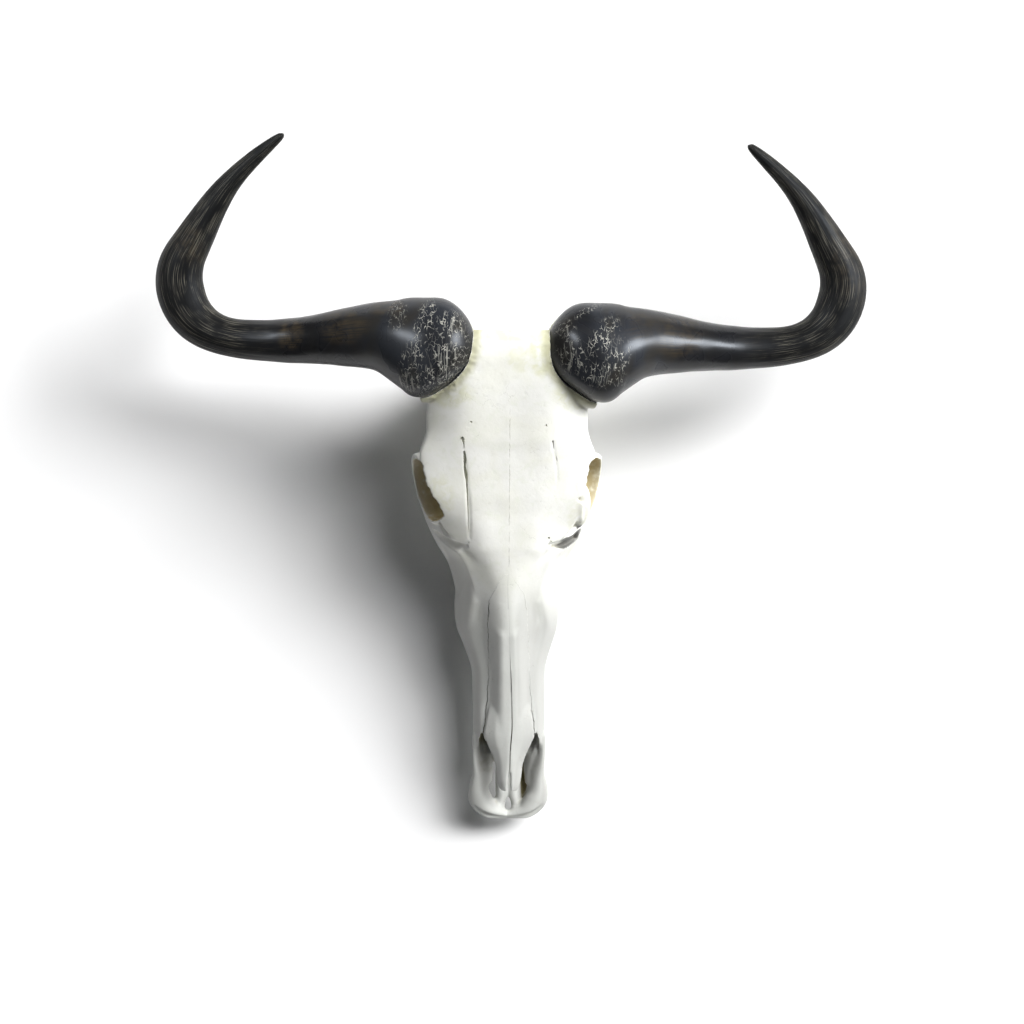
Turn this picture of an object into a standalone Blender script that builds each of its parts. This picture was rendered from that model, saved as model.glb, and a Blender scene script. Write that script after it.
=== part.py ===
"""A blue wildebeest skull without its lower jaw, life size, lying on its cheek teeth and jugular processes.

The nose points to -Y, +X is the animal's own left, and the floor is at Z = 0. Tables and sizes are in
millimetres, and MM turns them into Blender's metres.
"""

import math

import bmesh
import bpy
import numpy as np
from mathutils import Matrix, Vector

MM = 0.001
SIDES = (("right", -1), ("left", 1))

# Bone clay: the grid of the fused bone, its smoothing, and the triangles that the finished bone keeps.
GRAIN = 1.6
SOFTEN = 7
RESOFTEN = 2
BONE_TRIANGLES = 8600
# Clear space between neighbouring bones, and between a horn and its seat.
SEAM = 0.34
SEAT = 0.4

# Snout and upper jaw, from nose to orbit. Columns: place along Y, height of the roof, half width and drop of the
# roof's edge, half width and height of the widest line, half width and height of the gum line, height of the palate.
SNOUT = (
    (-246, 86, 9, 1.5, 33, 48, 28, 27, 36),
    (-225, 89.5, 9, 1.5, 33.5, 50, 28, 25, 35),
    (-190, 98, 9, 1.5, 34, 54, 26, 24, 34),
    (-170, 105, 9, 1.5, 34.5, 54, 27, 22, 33),
    (-150, 111, 9, 1.5, 40.5, 49, 34, 19, 31),
    (-132, 117, 9, 1.5, 47, 47, 39, 17, 30),
    (-114, 123, 9, 1.5, 49, 47, 41, 16, 31),
    (-95, 129, 10, 1.5, 47.5, 51, 42, 16, 33),
    (-80, 134, 13, 2.5, 47, 60, 43, 16, 34),
    (-66, 138, 16, 3.5, 48, 68, 43, 16, 36),
    (-48, 143, 20, 5.0, 50, 76, 42, 18, 38),
    (-34, 147, 22, 8.0, 44, 82, 32, 30, 46),
    (-14, 153, 24, 10.0, 34, 88, 20, 48, 55),
    (12, 162, 24, 10.0, 32, 95, 16, 56, 60),
)
FLANK_OUT, FLANK_UP = 0.75, 0.7
GUM_WIDTH = 13
# The front of the snout leans back: its roof ends this much further back for each millimetre of height.
SNOUT_LEAN = 0.6
LEAN_MIDDLE = 53
LEAN_START = -185

# Forehead, from the root of the nose to the poll. Columns: place, height at the middle, half width of the flat
# middle, half width and height of the side edge.
FOREHEAD = (
    (-97, 128, 5, 8, 126),
    (-84, 132.5, 8, 15, 129),
    (-70, 137, 14, 25, 131),
    (-58, 141, 22, 36, 132),
    (-48, 144, 26, 48, 131),
    (-38, 147, 30, 57, 131),
    (-25, 151, 33, 64, 139),
    (-11, 156, 36, 70, 146),
    (2, 160, 38, 75, 150),
    (20, 166, 41, 77, 154),
    (30, 169.5, 42, 77, 156),
    (40, 173.5, 42, 73.5, 158),
    (50, 177, 42, 71, 160),
    (64, 182, 42, 71, 163),
    (82, 188, 42, 68, 168),
    (100, 193, 42, 62, 177),
    (118, 197, 40, 55, 185),
    (130, 196, 36, 46, 187),
    (138, 190, 30, 38, 182),
)
FOREHEAD_DEPTH = 42

# Braincase, from behind the orbits to the occiput. Columns: place, top, half width and height of the side,
# half width and height of the lower side, height of the base.
BRAINCASE = (
    (8, 150, 28, 112, 17, 64, 58),
    (34, 165, 40, 120, 26, 72, 57),
    (60, 178, 48, 116, 40, 74, 54),
    (82, 188, 53, 110, 47, 66, 50),
    (104, 190, 56, 106, 45, 58, 48),
    (120, 186, 53, 110, 38, 58, 50),
    (131, 172, 45, 122, 30, 74, 66),
    (140, 156, 34, 138, 22, 108, 100),
)

# Wall in front of the orbit. Columns: place, then distance from the middle and height of its upper edge, of its
# bulge, and of its lower edge.
FACE_WALL = (
    (-104, 8, 124, 28, 111, 45, 70),
    (-84, 13, 129, 33, 118, 49, 74),
    (-68, 22, 131, 40, 124, 54, 80),
    (-57, 30, 131, 49, 125, 60, 84),
    (-46, 38, 131, 58, 121, 67, 88),
    (-36, 44, 131, 63, 118, 72, 92),
    (-29, 46, 131, 64, 116, 73, 94),
)
WALL_DEPTH = 13

# Orbit: centre, tilt of its opening forward and up, half height and half length of the rim, wall, and depth.
ORBIT_CENTRE = (76, -2, 119)
ORBIT_FORWARD, ORBIT_UP = 0.27, 0.21
ORBIT_HALF_LENGTH, ORBIT_HALF_HEIGHT = 33, 31
ORBIT_WALL = 5
ORBIT_DEPTH = 46

# Right horn, from the boss's inner end to the tip. Columns: distance from the middle plane, place along Y, height,
# half height across the face, half depth.
HORN = (
    (33.4, 124.5, 180, 4, 3.4),
    (34.4, 125, 180, 11.5, 9.3),
    (37, 126, 180.5, 19.5, 15.8),
    (41.6, 127, 181, 26.8, 21.5),
    (48.2, 127.8, 181.5, 33, 26.3),
    (56, 127.7, 182, 38.2, 30),
    (65, 126, 182, 42.3, 32.5),
    (76.7, 123, 180, 45, 34.5),
    (90.2, 123.5, 177, 44.5, 34),
    (99, 127.2, 174.5, 39.4, 32.9),
    (108, 130.8, 171.3, 35.2, 31.1),
    (117, 133.2, 168, 32.2, 28.6),
    (131, 134, 161.8, 29.6, 25.9),
    (162, 133, 148, 25.2, 23.2),
    (199.5, 131.5, 133, 20.4, 20),
    (236, 132.8, 127, 18.7, 18.7),
    (256, 135.5, 127, 18, 18.2),
    (271, 140.5, 127.5, 18.8, 18.4),
    (284, 149, 128.5, 20.4, 18.8),
    (294.5, 163, 130.5, 21.7, 19),
    (300, 184, 134.5, 21.9, 18.9),
    (296.5, 203, 139, 20.6, 18),
    (286.5, 220, 143.5, 18.2, 16.4),
    (263, 257, 158, 12.4, 11.8),
    (242.3, 280, 166.5, 9, 8.7),
    (220.5, 298, 175.5, 6.4, 6.2),
    (208, 307.3, 180, 4.2, 4.1),
    (203.2, 310.7, 181.8, 2.6, 2.6),
    (202, 311.6, 182.2, 0.8, 0.8),
)
HORN_SIDES = 22
HORN_RINGS = 56
# The horn's path is worked out at this many places and smoothed this often before the rings are spread on it.
HORN_SAMPLES, HORN_SMOOTHING = 1600, 900
# Rings of the boss stand across the head, and turn with the horn from this distance on.
BOSS_END, TURN_LENGTH = 96, 40
# The left horn starts closer to the middle, sits further forward on the head and reaches further out.
LEFT_INWARD, LEFT_OUTWARD = 1.3, 11
LEFT_FORWARD, LEFT_FORWARD_TIP = 3.5, 5.0
# The bony collar below each boss: how far it stands out, where it ends and fades, its drop and half height.
COLLAR_OUT = 2
COLLAR_END, COLLAR_FADE = 80, 16
COLLAR_MIDDLE = 65
COLLAR_DROP, COLLAR_DEPTH = 13, 20
COLLAR_FORWARD = 4.5

# Nasal bones. Columns: place, half width of the pair, height of the underside at the middle. NASAL_PITCH is how
# steeply the underside falls to its edges.
NASAL = (
    (-294, 25, 60),
    (-262, 25, 68),
    (-236, 24, 76),
    (-200, 20.5, 87.5),
    (-160, 18.5, 100),
    (-125, 18, 111),
    (-102, 16, 118.5),
    (-90, 9.5, 124),
    (-80, 3, 129),
)
NASAL_PITCH = 0.3

# Suture of the premaxilla, from the rim of the nostril to the lower edge, and the space above the bone.
PREMAXILLA_OUTLINE = ((-330, 8), (-330, 45), (-290, 49), (-262, 56.5), (-243, 63), (-268, 8))

# Cheek teeth, from the second premolar to the last molar: length, width, and lobes.
TEETH = ((9, 10, 1), (12, 12, 1), (13, 15, 1), (18, 17, 2), (22, 18, 2), (24, 17, 2))
TEETH_BACK = -43
TEETH_MIDDLE_FRONT, TEETH_MIDDLE_BACK = 28, 33
TEETH_ROOT = 25

# The hollow below the ridge in front of the orbit: rows of place and half width.
TEAR_FOSSA = (
    (37, -54.5, 137, 3),
    (45, -55, 131, 5),
    (55, -53.5, 121, 7),
    (65, -48, 107, 7.5),
    (74, -41, 96, 4.5),
)
# The open side of the orbit, seen from above. Columns: place, distance of the brow's edge from the middle, and the
# height above which nothing closes the orbit.
BROW = (
    (26, 82, 128),
    (19, 76.6, 122),
    (10, 75, 119),
    (1, 72.6, 117),
    (-6, 69, 115),
    (-12, 65.4, 113),
    (-19, 61, 112),
    (-25, 58.5, 113),
    (-29, 60, 117),
    (-31.5, 66, 125),
)
BROW_RINGS = 14

# How far the skull's middle strays from the plane X = 0: place, and the distance.
MIDLINE = (
    (-330, -0.5),
    (-230, 0),
    (-170, -0.5),
    (-110, -2.2),
    (0, -2.4),
    (40, -3.2),
    (60, -3.6),
    (90, -2.5),
    (130, -0.5),
    (170, -0.3),
)

# The groove between the ridge on the premaxilla's broad end and its lip: rows of place and half width.
LIP_GROOVE = (
    (33, -301, 40, 2.5),
    (26, -308, 38.5, 3.6),
    (15, -312.5, 37, 3.8),
    (5, -314, 35.5, 3.4),
    (-1, -314, 34.5, 3),
)

# Height and half width that no bone reaches.
ROOM_TOP, ROOM_SIDE = 150, 70

BONE = (0.86, 0.85, 0.78)
SHEATH = (0.035, 0.033, 0.034)


def between(table, at):
    """The table's columns at the place `at`, on a smooth curve through its rows."""
    rows = np.array(table, float)
    places, values = rows[:, 0], rows[:, 1:]
    slopes = np.gradient(values, places, axis=0)
    i = int(np.clip(np.searchsorted(places, at) - 1, 0, len(places) - 2))
    span = places[i + 1] - places[i]
    t = (at - places[i]) / span
    start, end = values[i], values[i + 1]
    return (
        (2 * t**3 - 3 * t**2 + 1) * start
        + (t**3 - 2 * t**2 + t) * span * slopes[i]
        + (3 * t**2 - 2 * t**3) * end
        + (t**3 - t**2) * span * slopes[i + 1]
    )


def smooth_path(points, count):
    """`count` points, evenly spread by row, on a smooth curve through the given ones."""
    rows = [(i, *p) for i, p in enumerate(points)]
    return [between(rows, at) for at in np.linspace(0, len(points) - 1, count)]


def new_object(name, mesh):
    obj = bpy.data.objects.new(name, mesh)
    bpy.context.scene.collection.objects.link(obj)
    return obj


def remove(objects):
    for obj in objects:
        bpy.data.objects.remove(obj)


def loft(name, rings):
    """A closed solid through rings of points, each ring with the same number of them."""
    bm = bmesh.new()
    loops = [[bm.verts.new(Vector(p) * MM) for p in ring] for ring in rings]
    count = len(loops[0])
    for a, b in zip(loops, loops[1:]):
        for i in range(count):
            j = (i + 1) % count
            bm.faces.new((a[i], a[j], b[j], b[i]))
    for loop in (loops[0], loops[-1]):
        middle = bm.verts.new(sum((v.co for v in loop), Vector()) / count)
        for i in range(count):
            bm.faces.new((loop[i], loop[(i + 1) % count], middle))
    bmesh.ops.recalc_face_normals(bm, faces=bm.faces)
    mesh = bpy.data.meshes.new(name)
    bm.to_mesh(mesh)
    bm.free()
    return new_object(name, mesh)


def mirrored_ring(half, y, count=44):
    """A ring across the skull at Y, from the half outline (x, z) that runs from the top to the bottom middle."""
    points = smooth_path(half, count // 2 + 1)
    right = [(max(x, 0.0), y, z) for x, z in points]
    return right + [(-x, y, z) for x, _, z in reversed(right[1:-1])]


def ball(name, centre, radii, turn=(0, 0, 0), segments=32):
    bm = bmesh.new()
    bmesh.ops.create_uvsphere(bm, u_segments=segments, v_segments=segments // 2, radius=1)
    shape = Matrix.Translation(Vector(centre) * MM)
    for axis, angle in zip("XYZ", turn):
        shape = shape @ Matrix.Rotation(math.radians(angle), 4, axis)
    shape = shape @ Matrix.Diagonal((*(r * MM for r in radii), 1))
    bmesh.ops.transform(bm, matrix=shape, verts=bm.verts)
    mesh = bpy.data.meshes.new(name)
    bm.to_mesh(mesh)
    bm.free()
    return new_object(name, mesh)


def tube(name, rows, flat=1.0, across=(0, 0, 1), sides=20, count=24):
    """A rounded bar through rows of (x, y, z, half width). Its size along `across` is `flat` times the width, or a
    fifth column where the rows have one."""
    path = smooth_path(rows, count)
    rings = []
    for i, row in enumerate(path):
        ahead = Vector(path[min(i + 1, count - 1)][:3]) - Vector(path[max(i - 1, 0)][:3])
        side = ahead.cross(Vector(across)).normalized()
        up = side.cross(ahead).normalized()
        tall = row[4] if len(row) > 4 else row[3] * flat
        rings.append(ellipse(row[:3], side * row[3], up * tall, sides))
    return loft(name, rings)


def ellipse(centre, a, b, sides):
    turns = [2 * math.pi * i / sides for i in range(sides)]
    return [Vector(centre) + a * math.cos(t) + b * math.sin(t) for t in turns]


def mirrored_rows(rows, sign):
    """The rows with their first number, the distance from the middle plane, on the given side."""
    return [(row[0] * sign, *row[1:]) for row in rows]


def both(make):
    """One piece for each side, from a function that takes the side's sign."""
    return [make(sign) for _, sign in SIDES]


def evaluated(obj, name):
    """A new object with the mesh that the modifiers of `obj` give. The old one is removed."""
    graph = bpy.context.evaluated_depsgraph_get()
    mesh = bpy.data.meshes.new_from_object(obj.evaluated_get(graph))
    remove([obj])
    mesh.name = name
    return new_object(name, mesh)


def joined(name, pieces):
    """One object that holds the meshes of all pieces, which are removed."""
    bm = bmesh.new()
    for piece in pieces:
        bm.from_mesh(piece.data)
    mesh = bpy.data.meshes.new(name)
    bm.to_mesh(mesh)
    bm.free()
    remove(pieces)
    return new_object(name, mesh)


def fused(name, pieces, grain, soften):
    """Overlapping pieces as one closed skin, on a grid of `grain`, softened like worn bone."""
    obj = joined(name, pieces)
    remesh = obj.modifiers.new("grid", "REMESH")
    remesh.mode = "VOXEL"
    remesh.voxel_size = grain * MM
    smooth = obj.modifiers.new("soften", "SMOOTH")
    smooth.factor = 0.5
    smooth.iterations = soften
    return evaluated(obj, name)


def boolean(obj, others, operation, solver="EXACT"):
    """`obj` after one Boolean with a collection of the other pieces, which are removed."""
    group = bpy.data.collections.new("others")
    for other in others:
        group.objects.link(other)
    cut = obj.modifiers.new(operation.lower(), "BOOLEAN")
    cut.operation = operation
    cut.solver = solver
    cut.operand_type = "COLLECTION"
    cut.collection = group
    name = obj.name
    done = evaluated(obj, name)
    remove(others)
    bpy.data.collections.remove(group)
    return largest_body(done)


def largest_body(obj):
    """Keeps the largest closed surface of a mesh, so that no scrap or sealed hollow stays in it."""
    bm = bmesh.new()
    bm.from_mesh(obj.data)
    left, bodies = set(bm.faces), []
    while left:
        body, front = set(), [left.pop()]
        while front:
            face = front.pop()
            body.add(face)
            for edge in face.edges:
                for other in edge.link_faces if len(edge.link_faces) == 2 else ():
                    if other in left:
                        left.remove(other)
                        front.append(other)
        bodies.append(body)
    keep = max(bodies, key=len)
    bmesh.ops.delete(bm, geom=[face for face in bm.faces if face not in keep], context="FACES")
    bm.to_mesh(obj.data)
    bm.free()
    return obj


def thinned(obj, triangles):
    """Fewer triangles, with the smallest where the form bends most."""
    count = sum(len(p.vertices) - 2 for p in obj.data.polygons)
    decimate = obj.modifiers.new("thin", "DECIMATE")
    decimate.ratio = triangles / count
    decimate.use_collapse_triangulate = True
    return evaluated(obj, obj.name)


def snout():
    rings = []
    for y in np.linspace(SNOUT[0][0], SNOUT[-1][0], 60):
        top, edge, drop, wide, wide_z, gum, gum_z, palate = between(SNOUT, y)
        flank = (wide * FLANK_OUT, wide_z + (top - wide_z) * FLANK_UP)
        inner = max(gum - GUM_WIDTH, 6)
        half = ((0, top), (edge, top - drop), flank, (wide, wide_z), (gum, gum_z), (inner, gum_z + 2), (0, palate))
        lean = SNOUT_LEAN * min(max((LEAN_START - y) / (LEAN_START - SNOUT[0][0]), 0), 1) ** 2
        rings.append([(x, at + lean * (z - LEAN_MIDDLE), z) for x, at, z in mirrored_ring(half, y)])
    return loft("snout", rings)


def forehead():
    rings = []
    for y in np.linspace(FOREHEAD[0][0], FOREHEAD[-1][0], 60):
        top, flat, edge, edge_z = between(FOREHEAD, y)
        low = top - FOREHEAD_DEPTH
        half = ((0, top), (flat, top - 1.5), (edge, edge_z), (edge - 4, edge_z - 9), (edge * 0.6, low + 6), (0, low))
        rings.append(mirrored_ring(half, y))
    return loft("forehead", rings)


def braincase():
    rings = []
    for y in np.linspace(BRAINCASE[0][0], BRAINCASE[-1][0], 40):
        top, side, side_z, low, low_z, base = between(BRAINCASE, y)
        half = ((0, top), (side * 0.72, (top + side_z) / 2 + 12), (side, side_z), (low, low_z), (0, base))
        rings.append(mirrored_ring(half, y))
    return loft("braincase", rings)


def orbit_axes(sign):
    """The orbit's outward, lengthwise and upward directions on one side."""
    out = Vector((sign, -ORBIT_FORWARD, ORBIT_UP)).normalized()
    along = (Vector((0, 1, 0)) - out * out.y).normalized()
    return out, along, out.cross(along) * sign


def orbit_cone(name, sign, sections):
    """A tapered round form on the orbit's axis, from sections of (distance out from the rim, share, backward shift)."""
    out, along, up = orbit_axes(sign)
    centre = Vector((ORBIT_CENTRE[0] * sign, *ORBIT_CENTRE[1:]))
    rings = []
    for outward, share, back in smooth_path(sections, 20):
        middle = centre + out * outward + along * back
        rings.append(ellipse(middle, along * ORBIT_HALF_LENGTH * share, up * ORBIT_HALF_HEIGHT * share, 40))
    return loft(name, rings)


def orbit_barrel(sign):
    return orbit_cone("barrel", sign, ((-50, 0.62, 2), (-26, 0.86, 1), (-10, 0.98, 0), (-1, 1.01, 0), (2, 0.96, 0)))


def orbit_socket(sign):
    open_share = 1 - ORBIT_WALL / ORBIT_HALF_LENGTH
    deep = -ORBIT_DEPTH
    sections = ((deep, 0.1, 8), (deep + 6, 0.42, 6), (-22, open_share * 0.95, 2), (0, open_share, 0), (30, 0.9, 0))
    return orbit_cone("socket", sign, sections)


def brow_cut(sign):
    """Everything above the orbit's open side, outside the edge of the brow."""
    rings = []
    for y, edge, floor in smooth_path(BROW, BROW_RINGS):
        outline = ((edge, ROOM_TOP + 20), (ROOM_SIDE + 30, ROOM_TOP + 20), (ROOM_SIDE + 30, floor), (edge, floor))
        rings.append([(x * sign, y, z) for x, z in outline])
    return loft("brow_cut", rings)


def cheek(sign):
    """The cheek bone, from the face's bulge over the first molars to the lower rim of the orbit."""
    rows = ((34, -116, 52, 9), (38, -92, 60, 10), (45, -66, 72, 10.5), (58, -42, 84, 11), (71, -16, 90, 9), (77, 2, 91, 7))
    return tube("cheek", mirrored_rows(rows, sign), flat=1.3)


def arch(sign):
    """The cheek arch, from below the orbit to the jaw joint."""
    rows = ((76, -10, 90, 6.5), (79, 10, 89, 6), (76, 28, 89, 5.5), (68, 46, 92, 6.5), (58, 60, 95, 9), (46, 72, 97, 12))
    return tube("arch", mirrored_rows(rows, sign), flat=1.5)


def face_wall(sign):
    """The wall in front of the orbit, from the edge of the forehead down to the cheek."""
    rings = []
    for y, top_x, top_z, bulge_x, bulge_z, low_x, low_z in smooth_path(FACE_WALL, 40):
        inner_x, inner_z = bulge_x - WALL_DEPTH, bulge_z - WALL_DEPTH
        outline = ((top_x, top_z), (bulge_x, bulge_z), (low_x, low_z), (low_x - WALL_DEPTH, low_z - 6))
        outline += ((inner_x, inner_z), (top_x - WALL_DEPTH / 2, top_z - WALL_DEPTH))
        rings.append([(x * sign, y, z) for x, z in outline])
    return loft("face_wall", rings)


def pedicle(sign):
    """The bony stalk of the horn core. It stands out past the sheath on it as a low collar."""
    rings = []
    for place, across, depth in horn_frame(sign, HORN_RINGS):
        out = abs(place.x)
        if out < COLLAR_END:
            wide = across.length + COLLAR_OUT * min((COLLAR_END - out) / COLLAR_FADE, 1)
            inward = max(COLLAR_MIDDLE - out, 0) * COLLAR_OUT / (COLLAR_MIDDLE - HORN[0][0])
            sunk = place - Vector((inward * sign, COLLAR_FORWARD, COLLAR_DROP))
            rings.append(ellipse(sunk, across.normalized() * wide, depth.normalized() * COLLAR_DEPTH, 40))
    return loft("pedicle", rings)


def pedicle_skirt(sign):
    """Bone below the horn that runs down behind the orbit."""
    rows = ((54, 88, 158, 9), (57, 80, 146, 12), (57, 72, 126, 12), (54, 70, 104, 12))
    return tube("skirt", mirrored_rows(rows, sign), across=(0, 1, 0), flat=1.2)


def skull_base():
    """Everything under the braincase: its bar of bone, ear capsules, ear tubes, condyles, processes and wings."""
    upright = (0, 1, 0)
    ear = ((34, 74, 74, 13), (48, 72, 84, 9), (57, 70, 90, 7))
    jugular = ((44, 112, 84, 15), (43, 111, 60, 11), (40, 109, 34, 7), (38, 107, 12, 5), (37, 106, -3, 4.5))
    wing = ((30, -46, 46, 5), (19, -24, 44, 4), (16, 0, 44, 4), (17, 18, 50, 5), (19, 34, 62, 7))
    pieces = [tube("base", ((0, 0, 68, 13), (0, 40, 62, 14), (0, 80, 56, 17), (0, 118, 56, 20)), flat=0.8)]
    for _, sign in SIDES:
        pieces += [
            ball("ear_capsule", (27 * sign, 72, 46), (11, 18, 15), (0, 0, -12 * sign)),
            tube("ear_tube", mirrored_rows(ear, sign), across=upright),
            ball("condyle", (20 * sign, 128, 50), (13, 15, 22), (-24, 0, 14 * sign)),
            tube("jugular_process", mirrored_rows(jugular, sign), across=upright, flat=1.5),
            tube("wing", mirrored_rows(wing, sign), flat=3.2),
            ball("jaw_joint", (54 * sign, 58, 92), (17, 13, 9)),
        ]
    return pieces


def nape_crest():
    """The ridge across the top of the occiput that the neck muscles pull on."""
    half = ((58, 112, 104, 6), (49, 127, 136, 5), (26, 133, 156, 5))
    rows = mirrored_rows(half, -1) + [(0, 135, 161, 6)] + list(half[::-1])
    return tube("crest", rows, across=(0, 1, 0), count=40)


def premaxilla(sign):
    """The bone at the tip of the upper jaw: a leaning side branch that sweeps round to a broad end, and a thin
    inner branch."""
    outer = (
        (26, -228, 51, 4, 15),
        (26, -250, 45, 4.4, 14.5),
        (25.5, -268, 40, 6.2, 12.5),
        (27.8, -283, 36.5, 9, 10.5),
        (26, -294.5, 33.5, 11.5, 9.5),
        (18.5, -303.5, 31.5, 9.5, 8.5),
        (9.5, -307.5, 30, 6.6, 7),
        (-1, -310.5, 29, 3.4, 5),
    )
    inner = ((8.5, -306, 29, 5.5), (7.6, -298, 29.5, 5), (6, -288, 30.5, 6.2), (6.3, -265, 31, 6), (6, -244, 32, 5))
    made = [
        tube("outer", mirrored_rows(outer, sign), across=(0.5 * sign, 0, 0.87)),
        tube("inner", mirrored_rows(inner, sign), flat=0.9),
    ]
    if sign > 0:
        shelf = ((13, -240, 29, 4.5), (14, -256, 25, 5), (14.5, -276, 23, 5.5), (14, -296, 25, 6))
        made.append(tube("shelf", shelf, flat=0.6))
    return made


def nasal_tip(sign):
    """The free end of one nasal bone, which overhangs the nostril."""
    rows = (
        (-196, 91, 17, 0.5),
        (-212, 90, 21, 0.5),
        (-228, 86, 23.5, 0.5),
        (-239, 82.5, 21, 0.5),
        (-248, 79.7, 17, 0.5),
        (-259, 76.3, 13.5, 0.8),
        (-273, 72, 12, 1),
        (-281, 69, 10, 1.2),
        (-285, 67.6, 6, 2.4),
    )
    rings = []
    for y, top, wide, inner in smooth_path(rows, 20):
        outline = (
            (inner, top),
            (wide * 0.55, top - 2),
            (wide, top - 8),
            (wide - 1, top - 11),
            (wide * 0.55, top - 6.5),
            (inner, top - 4.5),
        )
        rings.append([(x * sign, y, z) for x, z in outline])
    return loft("nasal_tip", rings)


def nostril_side(sign):
    """The gap between the free edge of a nasal bone and the side wall of the snout."""
    rows = (
        (-228, 24.4, 25.4, 68),
        (-233, 23.2, 27.2, 60),
        (-240, 21.4, 27.8, 55),
        (-250, 17.2, 28, 53),
        (-262, 14, 27, 53),
        (-275, 12.4, 25, 54),
        (-288, 11, 20, 57),
    )
    rings = []
    for y, inner, outer, floor in smooth_path(rows, 24):
        outline = ((inner, ROOM_TOP), (outer, ROOM_TOP), (outer, floor), (inner, floor))
        rings.append([(x * sign, y, z) for x, z in outline])
    return loft("nostril_side", rings)


def hollows():
    """Everything that the bone is open at: sockets, temples, nostril, throat and foramen magnum."""
    nostril = (
        (-300, 53, 10, 4),
        (-286, 50, 16, 10),
        (-264, 47, 21, 20),
        (-248, 45, 24, 27),
        (-232, 44, 26, 33),
        (-215, 44.5, 26, 39),
        (-195, 46, 24, 43),
        (-170, 52, 18, 34),
        (-145, 62, 6, 12),
    )
    rings = []
    for y, floor, wide, high in smooth_path(nostril, 24):
        side = (wide, floor + high * 0.4)
        half = ((0, floor + high), (wide * 0.7, floor + high * 0.86), side, (wide * 0.7, floor + 1), (0, floor))
        rings.append(mirrored_ring(half, y, 32))
    cutters = [
        loft("nostril", rings),
        *both(nostril_side),
        tube("foramen_magnum", ((0, 168, 60, 17), (0, 136, 62, 16), (0, 112, 70, 15), (0, 96, 80, 9))),
        tube("throat", ((0, 30, 42, 12), (0, -4, 42, 12), (0, -34, 46, 11), (0, -58, 50, 6)), flat=1.2),
    ]
    for _, sign in SIDES:
        cutters += [
            orbit_socket(sign),
            brow_cut(sign),
            tube("lip_groove", mirrored_rows(LIP_GROOVE, sign)),
            ball("temple", (64 * sign, 50, 122), (19, 14, 30), (0, 12 * sign, 14 * sign)),
            ball("temple_way", (52 * sign, 26, 116), (12, 20, 17)),
            tube("tear_fossa", mirrored_rows(TEAR_FOSSA, sign)),
        ]
    return cutters


def bone_clay():
    """The whole bone in one closed surface, before it is parted."""
    pieces = [snout(), forehead(), braincase(), nape_crest(), *skull_base()]
    for make in (orbit_barrel, cheek, face_wall, arch, pedicle, pedicle_skirt, nasal_tip):
        pieces += both(make)
    for _, sign in SIDES:
        pieces += premaxilla(sign)
    solid = fused("bone", pieces, GRAIN, SOFTEN)
    hollowed = boolean(solid, hollows(), "DIFFERENCE", "MANIFOLD")
    return fused("bone", [hollowed], GRAIN, RESOFTEN)


def nasal_region(grow=0.0, sign=0):
    """The space of both nasal bones, grown by `grow`, or of the one on the side that `sign` gives."""
    rings = []
    for i, (y, wide, ridge) in enumerate(NASAL):
        outer, ridge = wide + grow, ridge - grow * 1.1
        at = y + grow if i else y
        low = ridge - NASAL_PITCH * outer
        if sign:
            inner = SEAM / 2
            outline = ((inner, ROOM_TOP), (outer, ROOM_TOP), (outer, low), (inner, ridge - NASAL_PITCH * inner))
            rings.append([(x * sign, at, z) for x, z in outline])
        else:
            outline = ((-outer, ROOM_TOP), (outer, ROOM_TOP), (outer, low), (0, ridge), (-outer, low))
            rings.append([(x, at, z) for x, z in outline])
    return loft("nasal_region", rings)


def premaxilla_region(grow=0.0, sign=0):
    """The space of both premaxillae, grown by `grow`, or of the one on the side that `sign` gives."""
    middle = Vector((0, -290, 30))
    rings = []
    for x in (SEAM / 2 * sign, ROOM_SIDE * sign) if sign else (-ROOM_SIDE, ROOM_SIDE):
        ring = []
        for y, z in PREMAXILLA_OUTLINE:
            away = (Vector((0, y, z)) - middle).normalized() * grow * math.sqrt(2)
            ring.append((x, y + away.y, z + away.z))
        rings.append(ring)
    return loft("premaxilla_region", rings)


def tooth(place, middle, length, width, lobes):
    """One cheek tooth, with its root in the jaw and its worn face on the floor."""
    rings = []
    for z, swell in ((0, 0.94), (5, 1.0), (TEETH_ROOT, 0.86)):
        ring = []
        for i in range(16):
            turn = 2 * math.pi * i / 16
            y, x = math.cos(turn), math.sin(turn)
            pinch = 1 - 0.22 * math.exp(-((y / 0.3) ** 2)) if lobes == 2 else 1
            x = math.copysign(abs(x) ** 0.7, x) * pinch
            y = math.copysign(abs(y) ** 0.8, y)
            ring.append((middle + x * width / 2 * swell, place + y * length / 2 * swell, z))
        rings.append(ring)
    return loft("tooth", rings)


def teeth(sign):
    row = sum(length for length, _, _ in TEETH)
    made, back = [], 0
    for length, width, lobes in reversed(TEETH):
        place = TEETH_BACK - back - length / 2
        share = (back + length / 2) / row
        middle = TEETH_MIDDLE_BACK + (TEETH_MIDDLE_FRONT - TEETH_MIDDLE_BACK) * share
        made.append(tooth(place, middle * sign, length, width, lobes))
        back += length
    return made


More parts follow.
